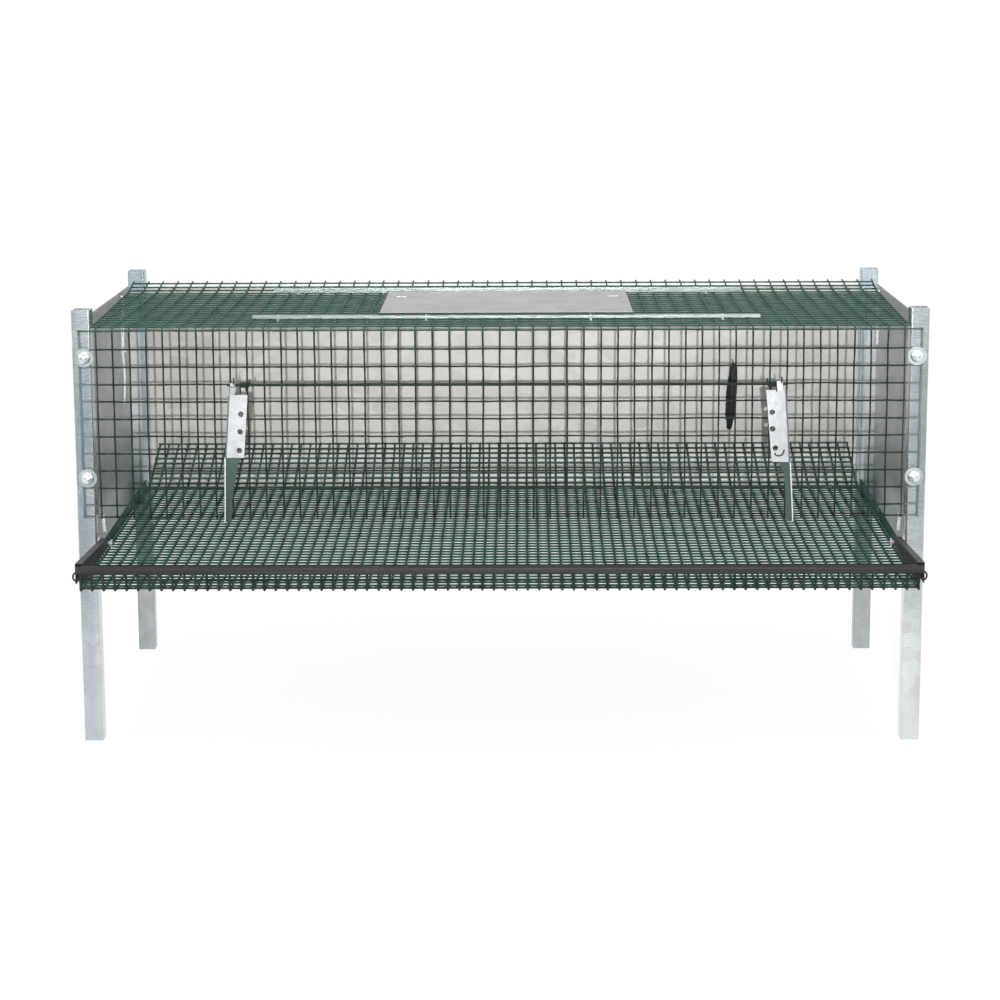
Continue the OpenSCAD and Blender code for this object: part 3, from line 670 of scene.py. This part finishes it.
FLOOR_R = 1.32 * MM
FLOOR_COLS = 73
FLOOR_CELL = 12.7 * MM
FLOOR_DROP = 2.5 * MM  # of the floor's front below the solids
EDGING_DROP = 2 * MM  # of the edging and the lip's top below the solids
FOLD_R = 2.2 * MM
FOLD_ANGLES = (8, 30, 60, 82)
CREASE_GAP, CREASE_Z = 0.6 * MM, 242 * MM
CREASE_REACH, CREASE_LIFT = 4 * MM, 0.3 * MM
CREASE_WIRE = 0.8 * MM  # from the crease to the cross wire above it
FLAP_END_Z = 281 * MM
FLAP_END_IN = 0.35  # of the wire's radius
SIDE_LIP, SIDE_BEND = 13 * MM, 1.6 * MM
RAIL_LIFT, RAIL_END = 11.2 * MM, 0.5 * MM
CORNER_IN, CORNER_LIFT = 0.4 * MM, 0.8 * MM
CORNER_START, CORNER_END = 12 * MM, 1 * MM
FLOOR_COLUMN_WANDER = 0.55 * MM
SAG_WANDER = 0.25 * MM
LONG_WAVE, CROSS_WAVE, RAIL_WAVE, CORNER_WAVE = 0.38 * MM, 0.45 * MM, 0.15 * MM, 0.1 * MM


def floor_wires():
    """The floor's long wires run from the front lip over the floor and up the rear flap, the cross
    wires from one side lip to the other."""
    rng = np.random.RandomState(9)
    half = BOX["floor_mesh"][HIGH][X] - FLOOR_R
    side_x = BOX["right_floor_lip"][LOW][X] + FLOOR_R
    lip_low, lip_high = BOX["tray_front_lip"]
    flap_low, flap_high = BOX["floor_rear_flap"]
    lip_y = lip_low[Y] + FLOOR_R
    front_z = lip_low[Z] + FLOOR_R - FLOOR_DROP
    lip_top = lip_high[Z] - EDGING_DROP
    lip_row = front_z + FLOOR_CELL - FLOOR_R
    layer = 2 * FLOOR_R - SINK
    # In [y, z]: the fold at the front lip, the crease at the flap and the flap's end.
    fold = np.array([lip_y, front_z])
    crease = np.array([flap_low[Y] - CREASE_GAP, CREASE_Z])
    flap_end = np.array([flap_high[Y] - FLOOR_R * FLAP_END_IN, FLAP_END_Z])
    length = np.linalg.norm(crease - fold)
    run = (crease - fold) / length
    normal = np.array([-run[1], run[0]])
    rows = round(length / FLOOR_CELL)
    step = length / rows
    flap_length = np.linalg.norm(flap_end - crease)
    rise = (flap_end - crease) / flap_length
    flap_normal = np.array([-rise[1], rise[0]])
    flap_rows = round(flap_length / FLOOR_CELL)
    flap_step = flap_length / flap_rows
    flap_places = [k * flap_step - 2 * FLOOR_R for k in range(1, flap_rows + 1)]
    xs = column_places(rng, half, FLOOR_COLS, FLOOR_COLUMN_WANDER)
    paths, radii = [], []

    def add(points, crossing):
        paths.append(points)
        radii.append(np.where(crossing, BEAD, SHANK) * FLOOR_R)

    marked = [((lip_y, lip_top), False), ((lip_y, (lip_top + lip_row) / 2), False),
              ((lip_y, lip_row), True), ((lip_y, (lip_row + front_z) / 2), False)]
    marked += [(fold + FOLD_R * np.array([1 - math.cos(a), 1 - math.sin(a)]), False)
               for a in np.radians(FOLD_ANGLES)]
    for k in range(1, rows):
        marked += [(fold + run * s, c) for s, c in (((k - 0.5) * step, False), (k * step, True))
                   if s > 2 * FOLD_R]
    marked += [(crease - run * CREASE_REACH, False), (crease + normal * CREASE_LIFT, False),
               (crease + rise * CREASE_REACH, False)]
    for s in flap_places:
        marked += [(crease + rise * (s - flap_step / 2), False), (crease + rise * s, True)]
    marked.append((flap_end, False))
    places, crossing = zip(*marked)
    sag = wander(rng, len(places), SAG_WANDER)
    for x in xs:
        points = np.array([(x, y, z) for y, z in places])
        points[:, Z] += sag
        add(wavy(rng, points, X, LONG_WAVE), crossing)

    post_s = FRONT_Y - lip_y
    front_lip = lip_top - front_z
    inner, inner_crossing = with_middles(xs)

    def lip_height(s):
        """Height of the side lips, which change from the front lip's height as far as the posts."""
        return SIDE_LIP if s >= post_s else front_lip + (SIDE_LIP - front_lip) * s / post_s

    def cross(point, lip=0):
        """A cross wire through a [y, z] point; with a lip its ends turn up that high."""
        y, z = point
        points = [(x, y, z) for x in inner]
        if lip:
            points[0], points[-1] = (-side_x + SIDE_BEND, y, z), (side_x - SIDE_BEND, y, z)
            left = [(-side_x, y, z + lip), (-side_x, y, z + SIDE_BEND)]
            right = [(side_x, y, z + SIDE_BEND), (side_x, y, z + lip)]
        else:
            left, right = [(-half - STUB, y, z)], [(half + STUB, y, z)]
        marks = [False] * len(left) + inner_crossing + [False] * len(right)
        add(wavy(rng, left + points + right, Y, CROSS_WAVE), marks)

    for k in range(1, rows):
        cross(fold + run * k * step + normal * layer, lip_height(k * step) - layer)
    for s in [CREASE_WIRE] + flap_places:
        cross(crease + rise * s + flap_normal * layer)
    for z in (lip_row, front_z + layer):
        cross((lip_y + layer, z))

    half_steps = [k * step / 2 for k in range(2 * rows)]
    rail_places = [s for s in half_steps if s >= post_s] + [length - RAIL_END]
    corner_places = np.linspace(CORNER_START, length - CORNER_END, 2 * rows)
    for sign in (-1, 1):
        for x, lift, along, wave in (
                (side_x + layer, RAIL_LIFT, rail_places, RAIL_WAVE),
                (side_x - CORNER_IN, layer + CORNER_LIFT, corner_places, CORNER_WAVE)):
            points = [(sign * x, *(fold + run * s + normal * lift)) for s in along]
            add(wavy(rng, points, X, wave), [False] * len(points))
    tube_piece("floor_wires", paths, radii, MESH_SIDES, FLOOR_GREEN,
               ("floor_mesh", "floor_rear_flap", "tray_front_lip", "left_floor_lip",
                "right_floor_lip"))


wall_mesh()
floor_wires()


# ---------------------------------------------------------------- edging, door, rail and clip

EDGING_WALL, EDGING_ROUND = 1.2 * MM, 3.0 * MM
EDGING_SWAY, EDGING_DIP = 0.25 * MM, 0.35 * MM
SHEET_SWAY = 0.2 * MM
LIP_TALL, LIP_T = 2.2 * MM, 0.8 * MM
ROLL_Z, ROLL_R = 2.5 * MM, 0.6 * MM
# The clip by share of its height from the top, shift and half width in mm.
CLIP_STATIONS = (
    (1.00, -10.2, 1.6), (0.97, -10.0, 3.6), (0.88, -9.6, 5.0), (0.72, -9.2, 6.2), (0.55, -8.4, 7.0),
    (0.40, -7.4, 7.2), (0.26, -6.4, 6.4), (0.14, -5.6, 5.8), (0.05, -5.4, 4.6), (0.0, -5.4, 2.2),
)
CLIP_UNEVEN = 0.25
CLIP_FULL_HALF = 6 * MM  # half width from which the clip has its whole depth
STEM_R = 0.8 * MM


def edging_strip():
    """Front edging: a rounded channel pressed over the lip, a little uneven along its length."""
    rng = np.random.RandomState(3)
    low, high = BOX["front_edging"]
    y0, y1 = low[Y], high[Y]
    z0, z1 = low[Z] + 1 * MM - EDGING_DROP, high[Z] - EDGING_DROP
    front_centre = (y0 + EDGING_ROUND, z1 - EDGING_ROUND)
    rear_centre = (y1 - EDGING_ROUND, z1 - EDGING_ROUND)
    inner_r = EDGING_ROUND - EDGING_WALL
    outline = [(y0, z0)] + arc(front_centre, EDGING_ROUND, 180, 90, 7)
    outline += arc(rear_centre, EDGING_ROUND, 90, 0, 7) + [(y1, z0)]
    outline += [(y1 - EDGING_WALL, z0)] + arc(rear_centre, inner_r, 0, 90, 5)
    outline += arc(front_centre, inner_r, 90, 180, 5) + [(y0 + EDGING_WALL, z0)]
    xs = np.linspace(low[X], high[X], 60)
    sway = wander(rng, len(xs), EDGING_SWAY)
    dip = wander(rng, len(xs), EDGING_DIP)
    sway[[0, -1]] = dip[[0, -1]] = 0
    stations = [(x, max(dy, 0), min(dz, 0)) for x, dy, dz in zip(xs, sway, dip)]
    swept_piece("edging_strip", outline, stations, EDGING_DARK, ("front_edging",))


def swaying(rng, x0, x1, count):
    """Stations along X that sway back a little."""
    xs = np.linspace(x0, x1, count)
    return [(x, shift, 0) for x, shift in zip(xs, np.abs(wander(rng, count, SHEET_SWAY)))]


def door_lip():
    """The door's front edge is turned up behind the rail: a dark face of painted shade with a
    bright rolled edge.
    """
    rng = np.random.RandomState(4)
    low, high = BOX["sliding_door"]
    y = BOX["front_rail"][HIGH][Y] + 1 * MM
    z = high[Z]
    face = [(y, z), (y, z + LIP_TALL), (y + LIP_T, z + LIP_TALL), (y + LIP_T, z)]
    roll = arc((y + LIP_T / 2, z + ROLL_Z), ROLL_R, 0, 330, 12)
    stations = swaying(rng, low[X] + 0.5 * MM, high[X] - 0.5 * MM, 40)
    swept_piece("door_lip", face[::-1], stations, LIP_SHADE, (), DOOR_BODY)
    swept_piece("door_lip_roll", roll, stations, BRACKET_ZINC, (), DOOR_BODY)


def rail_web():
    """The rear rail's back stands up behind the door, slightly bowed."""
    rng = np.random.RandomState(6)
    low, high = BOX["rear_rail"]
    y, z0, z1 = high[Y] + 1.4 * MM, low[Z], high[Z] + 2.2 * MM
    back_y = y + 0.9 * MM
    web = [(y, z0), (y, z1 - 0.4 * MM), (y + 0.4 * MM, z1), (back_y, z1 - 0.3 * MM), (back_y, z0)]
    stations = swaying(rng, low[X], high[X], 60)
    swept_piece("rear_rail_web", web[::-1], stations, RAIL_ZINC)


def drinker_clip():
    """Spindle-shaped clip on the rear panel, with a thin stem at its top."""
    rng = np.random.RandomState(8)
    low, high = BOX["drinker_clip"]
    middle_x = (low[X] + high[X]) / 2
    middle_y, half_y = (low[Y] + high[Y]) / 2, (high[Y] - low[Y]) / 2
    top_z, bottom_z = high[Z] + 1 * MM, low[Z] - 3.5 * MM
    turn = np.linspace(0, 2 * math.pi, 18, endpoint=False)
    shares, shifts, halves = zip(*CLIP_STATIONS[::-1])
    rings = []
    for share in np.linspace(1, 0, 30):
        x = middle_x + np.interp(share, shares, shifts) * MM
        half = (np.interp(share, shares, halves) + CLIP_UNEVEN * rng.normal()) * MM
        flat = half_y * min(half / CLIP_FULL_HALF, 1)
        z = top_z + (bottom_z - top_z) * share
        rings.append([(x + half * math.cos(a), middle_y + half_y - flat + flat * math.sin(a), z)
                      for a in turn])
    loft_piece("clip_body", rings, CLIP_DARK, ("drinker_clip",))
    tip = np.linspace(0, 1, 6)
    stem = path_points(middle_x + (-5.4 - 1.5 * tip) * MM, middle_y, top_z + (7 * tip - 1) * MM)
    tube_piece("clip_stem", [stem], STEM_R, SMALL_SIDES, CLIP_DARK)


# ---------------------------------------------------------------- ties and curls

TIE_R, TAIL_R = 1.1 * MM, 1.5 * MM
TIE_TURNS, TIE_SPREAD, TIE_STEPS = 6, 1.4 * MM, 60
LEFT_TIE_Y, RIGHT_TIE_Y = 205 * MM, 247 * MM
LEFT_TIE_LEAN, RIGHT_TIE_LEAN = 8 * MM, 6 * MM  # forwards, from the top to the knot
LEFT_KNOT_Z, RIGHT_KNOT_Z = 423 * MM, 425 * MM
TAIL_LONG, TAIL_BOW = 67 * MM, 1.5 * MM
TIE_HOOK_R, TIE_HOOK_IN, TIE_HOOK_Z = 3.5 * MM, 2.5 * MM, 429 * MM
TRAY_TIE_R = 0.7 * MM
TRAY_TIE_TURNS, TRAY_TIE_SPREAD, TRAY_TIE_STEPS = 3, 1.5 * MM, 36
TRAY_TIE_HIGH, TRAY_TIE_LOW, TRAY_TIE_IN = 271 * MM, 251 * MM, 1.5 * MM
CURL_WIRE_R, CURL_WIDE, CURL_TALL = 1.1 * MM, 3.4 * MM, 4.6 * MM


def twist(start, end, turns, spread_r, steps):
    """Two wires twisted round each other from one point to another."""
    start, end = np.array(start), np.array(end)
    axis = (end - start) / np.linalg.norm(end - start)
    side = np.cross(axis, (0, 1, 0.2))
    side /= np.linalg.norm(side)
    other = np.cross(axis, side)
    share = np.linspace(0, 1, steps)
    out = []
    for phase in (0, math.pi):
        angle = share * turns * 2 * math.pi + phase
        around = np.outer(np.cos(angle), side) + np.outer(np.sin(angle), other)
        out.append(start + np.outer(share, end - start) + spread_r * around)
    return out


def tie_wires():
    """Ties twisted from the top mesh down beside the panels; the left one has a tail and a hook."""
    top_z = BOX["top_mesh"][LOW][Z] + 1 * MM
    wall_x = BOX["right_side_panel"][HIGH][X] - 5.5 * MM
    knot_y = LEFT_TIE_Y - LEFT_TIE_LEAN
    paths = twist((-wall_x, LEFT_TIE_Y, top_z), (-wall_x, knot_y, LEFT_KNOT_Z),
                  TIE_TURNS, TIE_SPREAD, TIE_STEPS)
    tail = np.linspace(0, 1, 14)
    paths.append(path_points(-wall_x + np.sin(tail * math.pi) * TAIL_BOW, knot_y,
                             LEFT_KNOT_Z - TAIL_LONG * tail))
    hook = np.linspace(0, 1.3 * math.pi, 12)
    paths.append(path_points(-wall_x + TIE_HOOK_IN - TIE_HOOK_R * np.sin(hook), knot_y,
                             TIE_HOOK_Z + TIE_HOOK_R * np.cos(hook)))
    paths += twist((wall_x, RIGHT_TIE_Y, top_z),
                   (wall_x - 1 * MM, RIGHT_TIE_Y - RIGHT_TIE_LEAN, RIGHT_KNOT_Z),
                   TIE_TURNS, TIE_SPREAD, TIE_STEPS)
    radii = [TIE_R, TIE_R, TAIL_R, TIE_R, TIE_R, TIE_R]
    tube_piece("tie_wires", paths, radii, SMALL_SIDES, TIE_ZINC_AND_HIGHLIGHT)


def tray_ties():
    """Short twisted ties where the tray's side lips pass the front posts."""
    side_x = BOX["right_floor_lip"][HIGH][X] + 3.2 * MM
    behind_y = BOX["front_left_post"][HIGH][Y] + 3.5 * MM
    paths = []
    for sign in (-1, 1):
        paths += twist((sign * side_x, behind_y, TRAY_TIE_HIGH),
                       (sign * (side_x - TRAY_TIE_IN), behind_y, TRAY_TIE_LOW),
                       TRAY_TIE_TURNS, TRAY_TIE_SPREAD, TRAY_TIE_STEPS)
    tube_piece("tray_ties", paths, TRAY_TIE_R, SMALL_SIDES, TIE_ZINC_AND_HIGHLIGHT)


def edging_curls():
    """The lip's end wires curl round under the ends of the front edging."""
    low, high = BOX["front_edging"]
    turn = np.radians(np.linspace(75, 325, 22))
    paths = [path_points(sign * (high[X] - 0.5 * MM - CURL_WIDE * np.cos(turn)), low[Y] + 2.2 * MM,
                         low[Z] - CURL_TALL + CURL_TALL * np.sin(turn)) for sign in (-1, 1)]
    tube_piece("edging_curls", paths, CURL_WIRE_R, CURL_SIDES, EDGING_DARK)


# ---------------------------------------------------------------- feeder brackets

PLATE_TOP_Y, ELBOW_Y, FOOT_Y = -140 * MM, -145 * MM, -140.5 * MM
BRACKET_T, STRAP_T = 1.2 * MM, 0.8 * MM
HOLE_R = 2.5 * MM
SHADE_RING_R, SHADE_RING_WIRE_R, SHADE_RING_PROUD = 2.7 * MM, 0.45 * MM, 0.3 * MM
FLANGE_STEP = (1.5 * MM, -3 * MM)  # outwards and forwards
EDGE_STEP = (1.3 * MM, -1 * MM)
STRAP_GAP = 0.3 * MM
TONGUE_LEVELS = (0, 0.1, 0.22, 0.4, 0.65, 1)
# In mm. The plate is left x, right x and z of its top, then of its low end; the strap is its two
# sides; holes and the tongue's outer and inner edge are [x, z] points.
BRACKETS = {
    "left": {
        "plate": (-315.3, -294.5, 421.4, -319.9, -299.4, 347.8),
        "holes": ((-302.6, 398.9), (-303.9, 378.4), (-305, 356.4)),
        "outer": ((-321, 347.8), (-321.9, 318.9), (-323.3, 270)),
        "inner": ((-303.4, 347.8), (-307.5, 339.1), (-311.1, 318.9), (-314.6, 299.2),
                  (-316.8, 270)),
        "strap": (-314.6, -309.2),
    },
    "right": {
        "plate": (310.2, 332, 425.7, 317.3, 337.3, 341.4),
        "holes": ((317.4, 399.8), (317.9, 380.4), (321.5, 357.9)),
        "outer": ((338.3, 341.4), (343, 270)),
        "inner": ((326.1, 341.4), (332.2, 328.1), (333.6, 307.6), (335, 287.3), (336.2, 270)),
        "strap": (322.6, 329.2),
    },
}
ROD_LOW, ROD_HIGH = BOX["feeder_rod"]
ROD_R = (ROD_HIGH[Z] - ROD_LOW[Z]) / 2
ROD_Y, ROD_Z = (ROD_LOW[Y] + ROD_HIGH[Y]) / 2, (ROD_LOW[Z] + ROD_HIGH[Z]) / 2
WRAPS = ((-303 * MM, -292 * MM), (322 * MM, 311 * MM))  # where each starts and ends in X
WRAP_TURNS, WRAP_GAP = 5.5, 0.8 * MM
WRAP_ENDS = ((0, -9 * MM), (0.6, -7 * MM), (1, 7 * MM))  # share of the wrap, and how far up
STRAIGHT_XS, STRAIGHT_UP = (-310.4 * MM, 328.2 * MM), 8.5 * MM
END_GAP, END_LEAN, STRAIGHT_LEAN = 0.9 * MM, 0.6 * MM, 0.8 * MM
BRACKET_WIRE_R = 0.85 * MM
FEEDER_HOOK = ((331.4, 356), (331, 353), (329.6, 350.4), (327, 348.8), (324, 348.6), (321.6, 350),
               (320.8, 352))  # [x, z] in mm
FEEDER_HOOK_PROUD = 0.4 * MM


def drilled_plate(corners, holes, hole_r):
    """Faces of a four-cornered plate (from top left, clockwise) with a row of holes down it."""
    top_left, top_right, low_right, low_left = [np.array(corner) for corner in corners]
    wide = np.linalg.norm(top_right - top_left)
    tall = np.linalg.norm(low_left - top_left)

    def place(u, v):
        top = top_left + (top_right - top_left) * u
        low = low_left + (low_right - low_left) * u
        return top + (low - top) * v

    centres = []
    for x, z in holes:
        v = (top_left[Z] - z) / (top_left[Z] - low_left[Z])
        left, right = place(0, v), place(1, v)
        centres.append(((x - left[X]) / (right[X] - left[X]), v))
    stops = [0] + [(a[1] + b[1]) / 2 for a, b in zip(centres, centres[1:])] + [1]
    points, faces = [], []
    for (u, v), v0, v1 in zip(centres, stops, stops[1:]):
        # Each hole's field of the plate, as the distances from the hole to its four sides.
        sides = (-u * wide, (1 - u) * wide, (v0 - v) * tall, (v1 - v) * tall)
        angles = list(np.linspace(0, 2 * math.pi, 28, endpoint=False))
        angles += [math.atan2(y, x) % (2 * math.pi) for x in sides[:2] for y in sides[2:]]
        angles.sort()
        first = len(points)
        for angle in angles:
            dx, dy = math.cos(angle), math.sin(angle)
            limits = ((sides[1] if dx > 0 else sides[0], dx),
                      (sides[3] if dy > 0 else sides[2], dy))
            far = min(side / d for side, d in limits if abs(d) > 1e-9)
            for reach in (hole_r, far):
                points.append(place(u + dx * reach / wide, v + dy * reach / tall))
        total = len(angles)
        for k in range(total):
            n = (k + 1) % total
            faces.append([first + 2 * k, first + 2 * n, first + 2 * n + 1, first + 2 * k + 1])
    return points, faces


def strip_faces(left, right):
    """Quads between two edges that are given at the same levels, from the top down."""
    points = [point for pair in zip(left, right) for point in pair]
    faces = [[2 * k, 2 * k + 2, 2 * k + 3, 2 * k + 1] for k in range(len(left) - 1)]
    return points, faces


def turned_edge(line, sign, step):
    """A strip from a line to the same line set outwards and forwards by a step."""
    shift = np.array((sign * step[0], step[1], 0))
    moved = [point + shift for point in line]
    return strip_faces(*sorted((line, moved), key=lambda edge: edge[0][X]))


def feeder_bracket(side, plate, holes, outer, inner, strap):
    """One bracket: drilled plate, tongue, turned outer edges and the strap over the rod."""
    left = side == "left"
    sign = -1 if left else 1
    top_l, top_r, top_z, low_l, low_r, low_z = [value * MM for value in plate]
    holes = [(x * MM, z * MM) for x, z in holes]
    corners = ((top_l, PLATE_TOP_Y, top_z), (top_r, PLATE_TOP_Y, top_z),
               (low_r, ELBOW_Y, low_z), (low_l, ELBOW_Y, low_z))
    points, faces = drilled_plate(corners, holes, HOLE_R)
    sheet_piece(side + "_bracket_plate", points, faces, BRACKET_T, BRACKET_ZINC, "bright_zinc",
                (side + "_feeder_bracket",))
    # Dark rings round the holes, standing proud of the plate: painted shade at the holes' edges.
    turn = np.linspace(0, 2 * math.pi, 25)
    shade_rings = []
    for x, z in holes:
        y = PLATE_TOP_Y + (ELBOW_Y - PLATE_TOP_Y) * (top_z - z) / (top_z - low_z)
        shade_rings.append(path_points(x + SHADE_RING_R * np.cos(turn), y - SHADE_RING_PROUD, z + SHADE_RING_R * np.sin(turn)))
    tube_piece(side + "_hole_shade_rings", shade_rings, SHADE_RING_WIRE_R, SMALL_SIDES, LIP_SHADE)

    def edge(marks):
        """An edge of the tongue through [x, z] marks, as points at the tongue's levels."""
        zs = [low_z - (low_z - marks[-1][1] * MM) * level for level in TONGUE_LEVELS]
        known = sorted((z * MM, x * MM) for x, z in marks)
        xs = np.interp(zs, [z for z, _ in known], [x for _, x in known])
        ys = [ELBOW_Y + (FOOT_Y - ELBOW_Y) * level for level in TONGUE_LEVELS]
        return [np.array(point) for point in zip(xs, ys, zs)]

    outer_edge, inner_edge = edge(outer), edge(inner)
    tongue = strip_faces(*((outer_edge, inner_edge) if left else (inner_edge, outer_edge)))
    sheet_piece(side + "_bracket_tongue", *tongue, BRACKET_T, TONGUE_SHADED_ZINC, "bright_zinc")
    plate_edge = [np.array(corners[k]) for k in ((0, 3) if left else (1, 2))]
    flange = turned_edge(plate_edge, sign, FLANGE_STEP)
    sheet_piece(side + "_bracket_flange", *flange, BRACKET_T, FLANGE_SHADED_ZINC, "zinc_sheet")
    # The tongue's turned outer edge is near-white zinc: a painted highlight.
    lit_rim = turned_edge(outer_edge, sign, EDGE_STEP)
    sheet_piece(side + "_bracket_lit_edge", *lit_rim, BRACKET_T, TIE_ZINC_AND_HIGHLIGHT, "bright_zinc")
    path = [(PLATE_TOP_Y, top_z - 1 * MM), (PLATE_TOP_Y, ROD_Z - 3 * MM)]
    path += arc((ROD_Y, ROD_Z), ROD_R + STRAP_GAP + BRACKET_T, 180, 40, 9)
    points, faces = strip_faces(*([(x * MM, y, z) for y, z in path] for x in strap))
    faces = [face[::-1] for face in faces]
    # The left strap gets the darker flange zinc as painted shade, the right one the near-white zinc
    # as a painted highlight.
    sheet_piece(side + "_bracket_strap", points, faces, STRAP_T, FLANGE_SHADED_ZINC if left else TIE_ZINC_AND_HIGHLIGHT,
                "zinc_sheet")


def bracket_wires():
    """Wire wrapped round the rod beside each bracket, with cut ends, and a hook left in a hole."""
    coil = np.linspace(0, 1, 90)
    angle = coil * WRAP_TURNS * 2 * math.pi
    wrap_r = ROD_R + WRAP_GAP
    level = np.linspace(0, 1, 6)
    front_y = ROD_Y - ROD_R - END_GAP
    wraps = []
    for x0, x1 in WRAPS:
        wraps.append(path_points(x0 + (x1 - x0) * coil, ROD_Y + wrap_r * np.cos(angle),
                                 ROD_Z + wrap_r * np.sin(angle)))
        for share, up in WRAP_ENDS:
            x = x0 + (x1 - x0) * share
            wraps.append(path_points(x + END_LEAN * level ** 2, front_y, ROD_Z + up * level))
    for x in STRAIGHT_XS:
        wraps.append(path_points(x, front_y + STRAIGHT_LEAN * level, ROD_Z + STRAIGHT_UP * level))
    tube_piece("rod_wraps", wraps, BRACKET_WIRE_R, SMALL_SIDES, WALL_GREEN)
    hook_x, hook_z = np.array(FEEDER_HOOK).T * MM
    hook = path_points(hook_x, ELBOW_Y - FEEDER_HOOK_PROUD, hook_z)
    tube_piece("feeder_hook", [hook], BRACKET_WIRE_R, SMALL_SIDES, CLIP_DARK)


edging_strip()
door_lip()
drinker_clip()
rail_web()
tie_wires()
tray_ties()
edging_curls()
for side, marks in BRACKETS.items():
    feeder_bracket(side, **marks)
bracket_wires()
